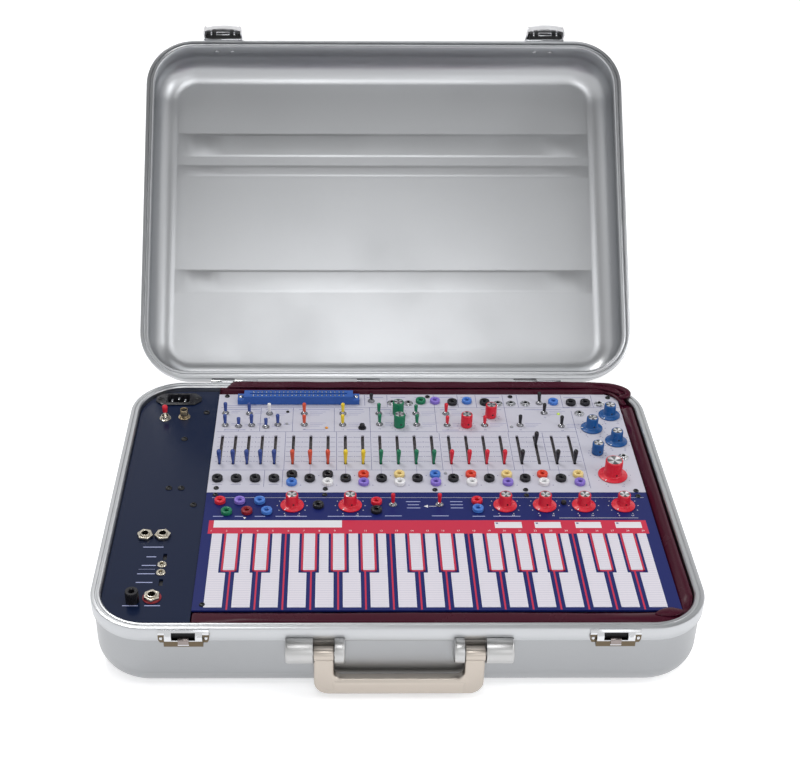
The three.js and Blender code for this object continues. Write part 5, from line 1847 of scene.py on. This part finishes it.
def add_flap(case):
    """The vinyl that lies over the rim along the rear and round the right corner."""
    low = case.tray_height + 0.1 * MM
    flap = outline_plate("liner_rear_flap", case, 0.9 * MM, low)
    draw_out(z=1.5 * MM)
    end_edit(flap)
    room = outline_plate("flap_room", case, 12.5 * MM, low - MM)
    draw_out(z=5 * MM)
    end_edit(room)
    cut_away(flap, room)
    cut_away(flap, plain_box("before_flap", (-1, -1, 0), (1, 174 * MM, 1)))
    slant = plain_box("left_of_flap", at(-200, -60, 0), at(0, 60, 200))
    slant.matrix_world = (
        Matrix.Translation(at(-172, 190, 0)) @ Matrix.Rotation(-0.5, 4, "Z"))
    cut_away(flap, settle(slant))
    finish_with(flap, "REMESH", mode="VOXEL", voxel_size=0.75 * MM)
    finish_with(flap, "SMOOTH", factor=0.5, iterations=3)
    for point in flap.data.vertices:
        if point.co.z > low + 0.7 * MM:
            along = point.co.x / MM
            point.co.z += 0.22 * MM * (
                math.sin(along / 9.0) + math.sin(along / 23.0 + 1.1) + 1.0)
    wear(smooth(flap, 60), "vinyl", "case")
    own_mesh(flap)


def puff_out(roll):
    """Let air pressure puff the strip out, and hold back how far each point moves."""
    before = [point.co.copy() for point in roll.data.vertices]
    take(roll)
    cloth = roll.modifiers.new("puff", "CLOTH")
    cloth.settings.quality = 5
    cloth.settings.mass = 0.2
    cloth.settings.use_pressure = True
    cloth.settings.uniform_pressure_force = 4.0
    cloth.settings.effector_weights.gravity = 0.0
    cloth.collision_settings.use_collision = False
    cloth.point_cache.frame_start = 1
    cloth.point_cache.frame_end = 20
    scene = bpy.context.scene
    for number in range(1, 21):
        scene.frame_set(number)
    bpy.ops.object.modifier_apply(modifier=cloth.name)
    scene.frame_set(1)
    for point, start in zip(roll.data.vertices, before):
        shift = point.co - start
        sideways = Vector((shift.x, shift.y, 0))
        if sideways.length > 0.5 * MM:
            sideways *= 0.5 * MM / sideways.length
        rise = max(-1.0 * MM, min(2.2 * MM, shift.z))
        point.co = start + sideways + Vector((0, 0, rise))


def add_folds(roll, case, panels):
    """Soft creases across the strip, deeper towards the corners."""
    corner_rear = Vector((panels.right, panels.rear))
    corner_front = Vector((panels.right, panels.front))
    for point in roll.data.vertices:
        if point.co.z < panels.top - 7 * MM:
            continue
        flat = Vector((point.co.x, point.co.y))
        near = min((flat - corner_rear).length, (flat - corner_front).length)
        along = point.co.y if point.co.x > panels.right else point.co.x
        weight = 0.25 + 1.2 * math.exp(-near / (26 * MM))
        crease = (
            math.sin(along / (7.0 * MM)) * 0.35 + math.sin(along / (17.0 * MM) + 1.3) * 0.5
            + math.sin(along / (41.0 * MM) + 0.4) * 0.6)
        point.co.z += crease * weight * 0.8 * MM
        fading = max(0.0, min(1.0, (166 * MM - abs(point.co.y)) / (14 * MM)))
        if point.co.x > panels.right and fading:
            outer = case.width / 2 - LINER_INSET * MM
            share = (point.co.x - panels.right) / (outer - panels.right)
            share = max(0.0, min(1.0, share))
            swell = 1.3 * math.sin(math.pi * share) + 3.4 * share * share * (3 - 2 * share)
            point.co.z += swell * fading * MM


def soft_tube(name, points, flatten):
    """A fat fold along a smooth line; each point is x, y, z and radius in millimetres."""
    free_hand()
    bpy.ops.curve.primitive_nurbs_path_add(location=(0, 0, 0))
    tube = bpy.context.active_object
    tube.name = name
    data = tube.data
    data.splines.clear()
    spline = data.splines.new("NURBS")
    spline.points.add(len(points) - 1)
    for spot, (x, y, z, radius) in zip(spline.points, points):
        spot.co = (*at(x, y, z), 1.0)
        spot.radius = radius
    spline.use_endpoint_u = True
    spline.order_u = 4
    spline.resolution_u = 10
    data.bevel_depth = 1 * MM
    data.bevel_resolution = 8
    data.use_fill_caps = True
    take(tube)
    bpy.ops.object.convert(target="MESH")
    tube = bpy.context.active_object
    middle = sum((Vector(point[:3]) for point in points), Vector()) / len(points) * MM
    begin_edit(tube)
    bpy.ops.mesh.select_all(action="SELECT")
    bpy.ops.transform.resize(value=(1, 1, flatten), center_override=middle)
    bpy.ops.mesh.normals_make_consistent(inside=False)
    end_edit(tube)
    finish_with(tube, "REMESH", mode="VOXEL", voxel_size=1.1 * MM)
    finish_with(tube, "SMOOTH", factor=0.5, iterations=4)
    return tube


def add_corner_folds():
    """Rolled hems at the rear right corner and a leaf over the front right one."""
    hem = soft_tube("liner_corner_hem", (
        (224, 193.5, 77.4, 1.6), (237, 191.5, 78.2, 2.8), (249, 186.5, 78.9, 3.5),
        (258.5, 179.5, 79.0, 3.7), (263.0, 172.0, 78.0, 3.6), (256.5, 165.5, 77.0, 3.5),
        (251.5, 169.5, 75.6, 3.0)), 0.72)
    fold = soft_tube("liner_corner_fold", (
        (230, 184.5, 76.4, 1.4), (238, 187.5, 77.0, 2.2), (247, 184.5, 77.4, 2.4),
        (252.5, 178.0, 77.0, 2.3), (254, 170.5, 75.4, 2.2), (254.5, 162.0, 72.6, 1.8)), 0.8)
    leaf = soft_tube("liner_corner_leaf", (
        (222, -176.5, 71.6, 1.2), (229, -174.0, 72.2, 4.4), (237, -173.0, 72.7, 7.2),
        (244.5, -172.5, 72.5, 5.8), (251, -171.0, 71.7, 1.6)), 0.26)
    pad = soft_tube("liner_corner_pad", (
        (222, 191.0, 73.4, 2.4), (234, 187.6, 73.6, 3.0), (244.6, 181.0, 73.7, 3.6),
        (251.8, 171.5, 73.2, 3.4), (255.5, 158.0, 72.0, 3.0)), 0.62)
    for piece, keep in ((hem, 0.08), (fold, 0.08), (leaf, None), (pad, None)):
        wear(smooth(piece, 60), "vinyl", "case")
        if keep:
            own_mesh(piece)


class SYNTH_OT_liner(bpy.types.Operator):
    """Padded vinyl strip along the rear, right and front edges"""
    bl_idname = "synth.liner"
    bl_label = "Padded liner"

    def execute(self, context):
        case = context.scene.synth_case
        panels = context.scene.synth_panels
        add_roll(case, panels)
        add_flap(case)
        add_corner_folds()
        return {"FINISHED"}


HANDLE_SPREAD = 65.5
HANDLE_ARM = 17.5
HANDLE_DROP = 35.6
HANDLE_GRIP = 18.0
HANDLE_THICK = 9.0


def add_handle():
    pivot = joint_place("handle_hinge")
    outer = HANDLE_SPREAD + HANDLE_ARM / 2
    inner = HANDLE_SPREAD - HANDLE_ARM / 2
    bottom = -HANDLE_DROP - HANDLE_GRIP / 2
    grip_top = -HANDLE_DROP + HANDLE_GRIP / 2
    half = HANDLE_THICK / 2
    loop = plain_box("handle_loop", at(-outer, -half, bottom), at(outer, half, 0))
    round_edges(loop, lambda edge: all(
        point.co.z < bottom * MM + MM for point in edge.verts) and runs_along(edge, 1), 13, 10)
    window = plain_box("handle_window", at(-inner, -20, grip_top), at(inner, 20, 20))
    round_edges(window, lambda edge: all(
        point.co.z < grip_top * MM + MM for point in edge.verts) and runs_along(edge, 1), 7, 8)
    cut_away(loop, window)
    soften(loop, 2.4 * MM, 4, 40)
    grip = plain_box(
        "handle_grip", at(-inner - 3, -half - 1.2, bottom + 0.4),
        at(inner + 3, half + 1.2, grip_top + 0.3))
    soften(grip, 5.2 * MM, 6, 40)
    eyes = []
    for sign in (-1, 1):
        centre = sign * HANDLE_SPREAD
        eyes.append(round_bar(
            "handle_eye", 6.5, centre - HANDLE_ARM / 2, centre + HANDLE_ARM / 2, 0, 0, 40, 0.8))
    merged("handle_bar", loop, grip, *eyes)
    for sign in (-1, 1):
        centre = sign * HANDLE_SPREAD
        cut_away(loop, round_bar(
            "handle_hole", 2.95, centre - HANDLE_ARM, centre + HANDLE_ARM, 0, 0, 24, 0.2))
    # The handle wears silver tinted warm as a painted reflection.
    wear(smooth(settle(loop, pivot), 35), "handle", "handle", ["handle"])


def add_bracket(side, sign):
    wall = -196.3
    bar = rod("bracket_bar", 13, 52, (0, 0, 0), 64, (0, math.pi / 2, 0))
    bar.scale = (1, 15 / 13, 1)
    bar.location = at(sign * 73.0, wall, 53)
    settle(bar)
    round_edges(
        bar, lambda edge: abs(edge.verts[0].co.x - edge.verts[1].co.x) < 0.1 * MM, 2.2, 5)
    cut_away(bar, plain_box("behind_wall", at(-200, wall, 0), at(200, 0, 100)))
    cut_away(bar, plain_box("rim_room", at(-200, -198.8, 61.7), at(200, 0, 100)))
    centre = sign * HANDLE_SPREAD
    slot = plain_box("arm_slot", at(centre - 9.5, -230, 20), at(centre + 9.5, wall - 0.4, 90))
    cut_away(bar, slot)
    soften(bar, 0.6 * MM, 3, 40)
    pin = round_bar("bracket_pin", 2.6, centre - 10.5, centre + 10.5, -204, 53, 24, 0.2)
    merged("handle_bracket_" + side + "_bar", bar, pin)
    name = "handle_bracket_" + side
    wear(smooth(bar, 35), "bracket", "case", [name])
    plate = soft_box(
        name + "_plate", at(centre - 10, wall - 0.3, 44.4),
        at(centre + 10, wall + 0.1, 61.6), 0.15 * MM)
    wear(plate, "bracket", "case")


class SYNTH_OT_handle(bpy.types.Operator):
    """Carrying handle and the half-round brackets that hold it"""
    bl_idname = "synth.handle"
    bl_label = "Handle and brackets"

    def execute(self, context):
        add_handle()
        for side, sign in (("left", -1), ("right", 1)):
            add_bracket(side, sign)
        return {"FINISHED"}


LATCH_SPREAD = 186.0
LATCH_FACE = -402.2
COVER_RADIUS = 77.0


def add_keeper(side, x):
    """A stamped plate: sloped top with a window, upright foot, two wings and a tab."""
    back = -198.8
    wings = plain_box("keeper_wings", at(-22, back - 2.0, 62.8), at(22, back, 71.4))
    foot = plain_box("keeper_foot", at(-17, back - 4.2, 60.0), at(17, back, 67.5))
    cut_corner(foot, (0, back - 2.6, 60.0), -0.7)
    body = merged("keeper_body", wings, foot)
    for end in (-1, 1):
        corner = plain_box("corner_room", at(-4, -240, -4), at(4, -150, 4))
        corner.matrix_world = (
            Matrix.Translation(at(end * 25.0, 0, 63.0)) @ Matrix.Rotation(end * 0.45, 4, "Y"))
        cut_away(body, settle(corner))
    cut_away(body, plain_box("window", at(-10.3, back - 9, 66.9), at(10.3, back - 1.0, 73.6)))
    soften(body, 0.4 * MM, 2, 40)
    slope = plain_box("keeper_slope", at(-16.4, back - 4.4, 66.0), at(16.4, back, 75.7))
    flange = plain_box("keeper_flange", at(-22, back - 2.3, 71.4), at(22, back, 75.9))
    cut_corner(flange, (0, back - 2.3, 73.0), 0.35)
    slope = merged("keeper_top", slope, flange)
    cut_corner(slope, (0, back - 4.4, 70.4), 0.62)
    cut_away(slope, plain_box("window", at(-10.3, back - 9, 66.9), at(10.3, back - 0.6, 73.6)))
    soften(slope, 0.3 * MM, 2, 40)
    tab = plain_box("keeper_tab", at(-4.7, back - 5.3, 62.8), at(4.7, back - 1.0, 68.4))
    round_edges(tab, lambda edge: all(
        point.co.y < (back - 5) * MM and point.co.z > 65 * MM for point in edge.verts), 2.2, 5)
    soften(tab, 0.3 * MM, 2, 50)
    lip = soft_box("keeper_lip", at(-4.9, back - 5.0, 61.6), at(4.9, back - 3.0, 63.2), 0.3 * MM)
    name = "latch_keeper_" + side
    # The keeper's plate and tab wear dark copies of its chrome, a painted reflection and shade; its
    # top wears the chrome.
    for piece, label, colour, stands_for in (
            (body, "_plate", "keeper", [name]), (slope, "_top", "chrome", ()),
            (tab, "_tab", "tab", ()), (lip, "_lip", "chrome", ())):
        piece.name = name + label
        wear(smooth(settle(piece, at(x, 0, 0)), 35), colour, "case", stands_for)
    # A near-black plate behind the keeper's window, a painted shadow where there is only shade.
    dark = soft_box(
        name + "_window", at(x - 10.2, back - 1.2, 67.0), at(x + 10.2, back - 0.4, 73.5),
        0.1 * MM)
    wear(dark, "dark", "case")
    rivet = smooth(turned(
        "rivet_master", ((1.7, 0.0), (1.6, 0.5), (1.1, 0.95), (0.4, 1.1)), 20), 50)
    turn = Matrix.Rotation(math.pi / 2, 4, "X")
    places = [
        Matrix.Translation(at(x + end, back - 2.0, 67.6)) @ turn for end in (-19.3, 19.3)]
    copies(rivet, name + "_rivet_%d", places, "chrome")


def cut_corner(obj, place, angle):
    """Slope off what lies before a line along the width: above it, or below for less than 0."""
    side = 1 if angle > 0 else -1
    block = plain_box(
        "slope_room", at(-40, -30, min(0, 40 * side)), at(40, 0, max(0, 40 * side)))
    block.matrix_world = (
        Matrix.Translation(at(*place)) @ Matrix.Rotation(-angle, 4, "X"))
    cut_away(obj, settle(block))


def add_base(side, x):
    name = "latch_base_" + side
    face = LATCH_FACE
    plate = plain_box("latch_plate", at(-22, face - 1.6, 4.0), at(22, face, 41.7))
    pad = plain_box("latch_pad", at(-22, face - 0.2, 18.0), at(22, face + 2.5, 41.7))
    lugs = [
        plain_box(
            "latch_lug", at(end * 17.7 - 1, -412.2, 32.25),
            at(end * 17.7 + 1, face - 0.8, 36.65))
        for end in (-1, 1)]
    body = merged("latch_plate_" + side, plate, pad, *lugs)
    soften(body, 0.35 * MM, 2, 40)
    pin = round_bar("latch_pin", 1.1, -19.7, 19.7, -410.3, 34.45, 20, 0.15)
    # A near-black block inside the latch cover, painted shade for its hollow.
    core = soft_box("latch_core", at(-19.3, -409.4, 3.2), at(19.3, face - 1.7, 29.5), 0.8 * MM)
    loop = plain_box("latch_loop", at(-7.6, -411.0, 1.6), at(7.6, -407.0, 2.8))
    cut_away(loop, plain_box("loop_room", at(-6.6, -410.2, 0), at(6.6, -407.8, 9.5)))
    hooks = [
        soft_box(
            "latch_hook", at(end * 13.2 - 0.8, -410.7, 1.2),
            at(end * 13.2 + 0.8, -406.8, 3.6), 0.3 * MM) for end in (-1, 1)]
    loop = joined("latch_loop", [soften(loop, 0.3 * MM, 2, 40), *hooks])
    pieces = (
        (body, name + "_plate", "chrome", [name]), (pin, name + "_pin", "chrome", None),
        (core, name + "_core", "dark", None), (loop, name + "_loop", "chrome", None))
    for piece, label, colour, stands_for in pieces:
        piece.name = label
        piece.matrix_world = LID_PLACE @ Matrix.Translation(at(x, 0, 0))
        wear(smooth(settle(piece), 35), colour, "lid", stands_for or ())


def cover_round(far, inward):
    """A wide round whose front bulges as the latch covers do."""
    return rod(
        "cover_round", COVER_RADIUS - inward, 120, (0, far + COVER_RADIUS, 20), 256)


def add_lever(side, x):
    name = "latch_lever_" + side
    near = -405.9
    far = near - 13.0
    cover = plain_box("latch_cover", at(-22, far, -3.3), at(22, near, 36.65))
    cut_away(cover, cover_round(far, 0.0), "INTERSECT")
    round_edges(cover, lambda edge: upright(edge) and edge.verts[0].co.y < (near - 6) * MM
                and abs(edge.verts[0].co.x) > 21 * MM, 3.0, 6)
    round_edges(cover, lambda edge: all(
        point.co.z < -3.2 * MM and point.co.y < (near - 4) * MM for point in edge.verts), 2.4, 6)
    hollow = plain_box("latch_hollow", at(-20.4, far, -10), at(20.4, near + 5, 50))
    cut_away(hollow, cover_round(far, 6.2), "INTERSECT")
    cut_away(cover, hollow)
    cut_away(cover, plain_box("pin_room", at(-20.4, far + 5.5, 27), at(20.4, near + 5, 50)))
    soften(cover, 0.4 * MM, 2, 40)
    cover.name = name + "_cover"
    settle(cover, LID_PLACE @ Matrix.Translation(at(x, 0, 0)))
    wear(smooth(cover, 35), "cover", name, [name])


class SYNTH_OT_latches(bpy.types.Operator):
    """Keepers on the tray, and latch plates and covers on the lid"""
    bl_idname = "synth.latches"
    bl_label = "Latches"

    def execute(self, context):
        for side, sign in (("left", -1), ("right", 1)):
            add_keeper(side, sign * LATCH_SPREAD)
            add_base(side, sign * LATCH_SPREAD)
            add_lever(side, sign * LATCH_SPREAD)
        return {"FINISHED"}


HINGE_PLACES = (-167.0, -6.5, 167.0)
HINGE_HALF = 25.5
HINGE_GAP = 0.3
KNUCKLE = 3.0
BARREL_PLACE = (203.4, 72.7)


def add_rivets(case):
    """Rivet heads on the lid's far wall, where the latch plates are fixed."""
    opened = lid_turned(case)
    rivet = smooth(turned(
        "rivet_master", ((2.9, -0.4), (2.8, 0.6), (2.0, 1.2), (0.7, 1.5)), 24), 50)
    wall = case.depth / 2 - case.overhang - case.sheet
    inner, outer = LATCH_SPREAD - 9.0, LATCH_SPREAD + 9.0
    turn = Matrix.Rotation(math.pi / 2, 4, "X")
    places = [
        opened @ Matrix.Translation((x * MM, wall, case.lid_height - 24 * MM)) @ turn
        for x in (-inner, -outer, inner, outer)]
    copies(rivet, "lid_rivet_%d", places, "aluminium", "lid")


class SYNTH_OT_hinges(bpy.types.Operator):
    """Hinge halves on the tray and the lid, and the lid's rivets"""
    bl_idname = "synth.hinges"
    bl_label = "Hinges and rivets"

    def execute(self, context):
        case = context.scene.synth_case
        for number, x in enumerate(HINGE_PLACES, 1):
            name = "hinge_leaf_%d" % number
            near, far = x - HINGE_GAP, x - HINGE_HALF
            barrel = round_bar(
                name + "_barrel", KNUCKLE, x + HINGE_GAP, x + HINGE_HALF, *BARREL_PLACE)
            wear(barrel, "chrome", "case", [name])
            for label, low, high in (
                    ("_plate", at(far, 198.8, 63), at(x + HINGE_HALF, 200.0, 69.7)),
                    ("_arm", at(x + HINGE_GAP, 198.8, 69.5), at(x + HINGE_HALF, 203.2, 70.9))):
                leaf = soft_box(name + label, low, high, 0.3 * MM)
                wear(leaf, "chrome", "case")
            name = "lid_hinge_%d" % number
            pieces = [round_bar(name + "_barrel", KNUCKLE, far, near, 0, 0)]
            for label, low, high in (
                    ("_web", (1.6, 0), (2.9, 4.9)), ("_arm", (-4.7, 3.75), (2.9, 4.9)),
                    ("_plate", (-4.8, 4.6), (-3.7, 11.5))):
                pieces.append(soft_box(name + label, at(far, *low), at(near, *high), 0.3 * MM))
            for piece in pieces:
                wear(settle(piece, LID_PLACE), "chrome", "lid")
        add_rivets(case)
        return {"FINISHED"}


class SYNTH_OT_finishes(bpy.types.Operator):
    """Materials of all pieces"""
    bl_idname = "synth.finishes"
    bl_label = "Materials"

    def execute(self, context):
        build_finishes()
        return {"FINISHED"}


class SYNTH_OT_inner_parts(bpy.types.Operator):
    """Finish of the parts that the frame itself gives"""
    bl_idname = "synth.inner_parts"
    bl_label = "Inner parts"

    def execute(self, context):
        for node in frame["nodes"].values():
            if not node.hide_render:
                node.data.materials.clear()
                node.data.materials.append(FINISHES["board"])
        return {"FINISHED"}


class SYNTH_PT_panel(bpy.types.Panel):
    """Lists the pieces of the synthesizer"""
    bl_idname = "SYNTH_PT_panel"
    bl_label = "Suitcase synthesizer"
    bl_space_type = "VIEW_3D"
    bl_region_type = "UI"
    bl_category = "Synthesizer"

    def draw(self, context):
        layout = self.layout
        scene = context.scene
        for group in (scene.synth_case, scene.synth_panels, scene.synth_controls):
            column = layout.column(align=True)
            for name in group.__annotations__:
                column.prop(group, name)
        for step in STEPS:
            layout.operator("synth." + step)


STEPS = (
    "finishes", "stage", "tray", "lid", "hinges", "latches", "handle", "liner", "upper_panel",
    "keyboard_panel", "side_plate", "connector", "power_inlet", "side_fittings", "sliders",
    "knobs", "jacks", "toggles", "small_fittings", "upper_print", "dial_print",
    "keyboard_print", "inner_parts",
)
CLASSES = (
    CaseSettings, PanelSettings, ControlSettings, SYNTH_OT_finishes, SYNTH_OT_stage,
    SYNTH_OT_tray, SYNTH_OT_lid, SYNTH_OT_hinges, SYNTH_OT_latches, SYNTH_OT_handle,
    SYNTH_OT_liner, SYNTH_OT_upper_panel, SYNTH_OT_keyboard_panel, SYNTH_OT_side_plate,
    SYNTH_OT_connector, SYNTH_OT_power_inlet, SYNTH_OT_side_fittings, SYNTH_OT_sliders,
    SYNTH_OT_knobs, SYNTH_OT_jacks, SYNTH_OT_toggles, SYNTH_OT_small_fittings,
    SYNTH_OT_upper_print, SYNTH_OT_dial_print, SYNTH_OT_keyboard_print, SYNTH_OT_inner_parts,
    SYNTH_PT_panel,
)


def register():
    for kind in CLASSES:
        bpy.utils.register_class(kind)
    scene_type = bpy.types.Scene
    scene_type.synth_case = bpy.props.PointerProperty(type=CaseSettings)
    scene_type.synth_panels = bpy.props.PointerProperty(type=PanelSettings)
    scene_type.synth_controls = bpy.props.PointerProperty(type=ControlSettings)


def unregister():
    scene_type = bpy.types.Scene
    del scene_type.synth_controls
    del scene_type.synth_panels
    del scene_type.synth_case
    for kind in reversed(CLASSES):
        bpy.utils.unregister_class(kind)


def main():
    register()
    for step in STEPS:
        getattr(bpy.ops.synth, step)()


if __name__ == "__main__":
    main()
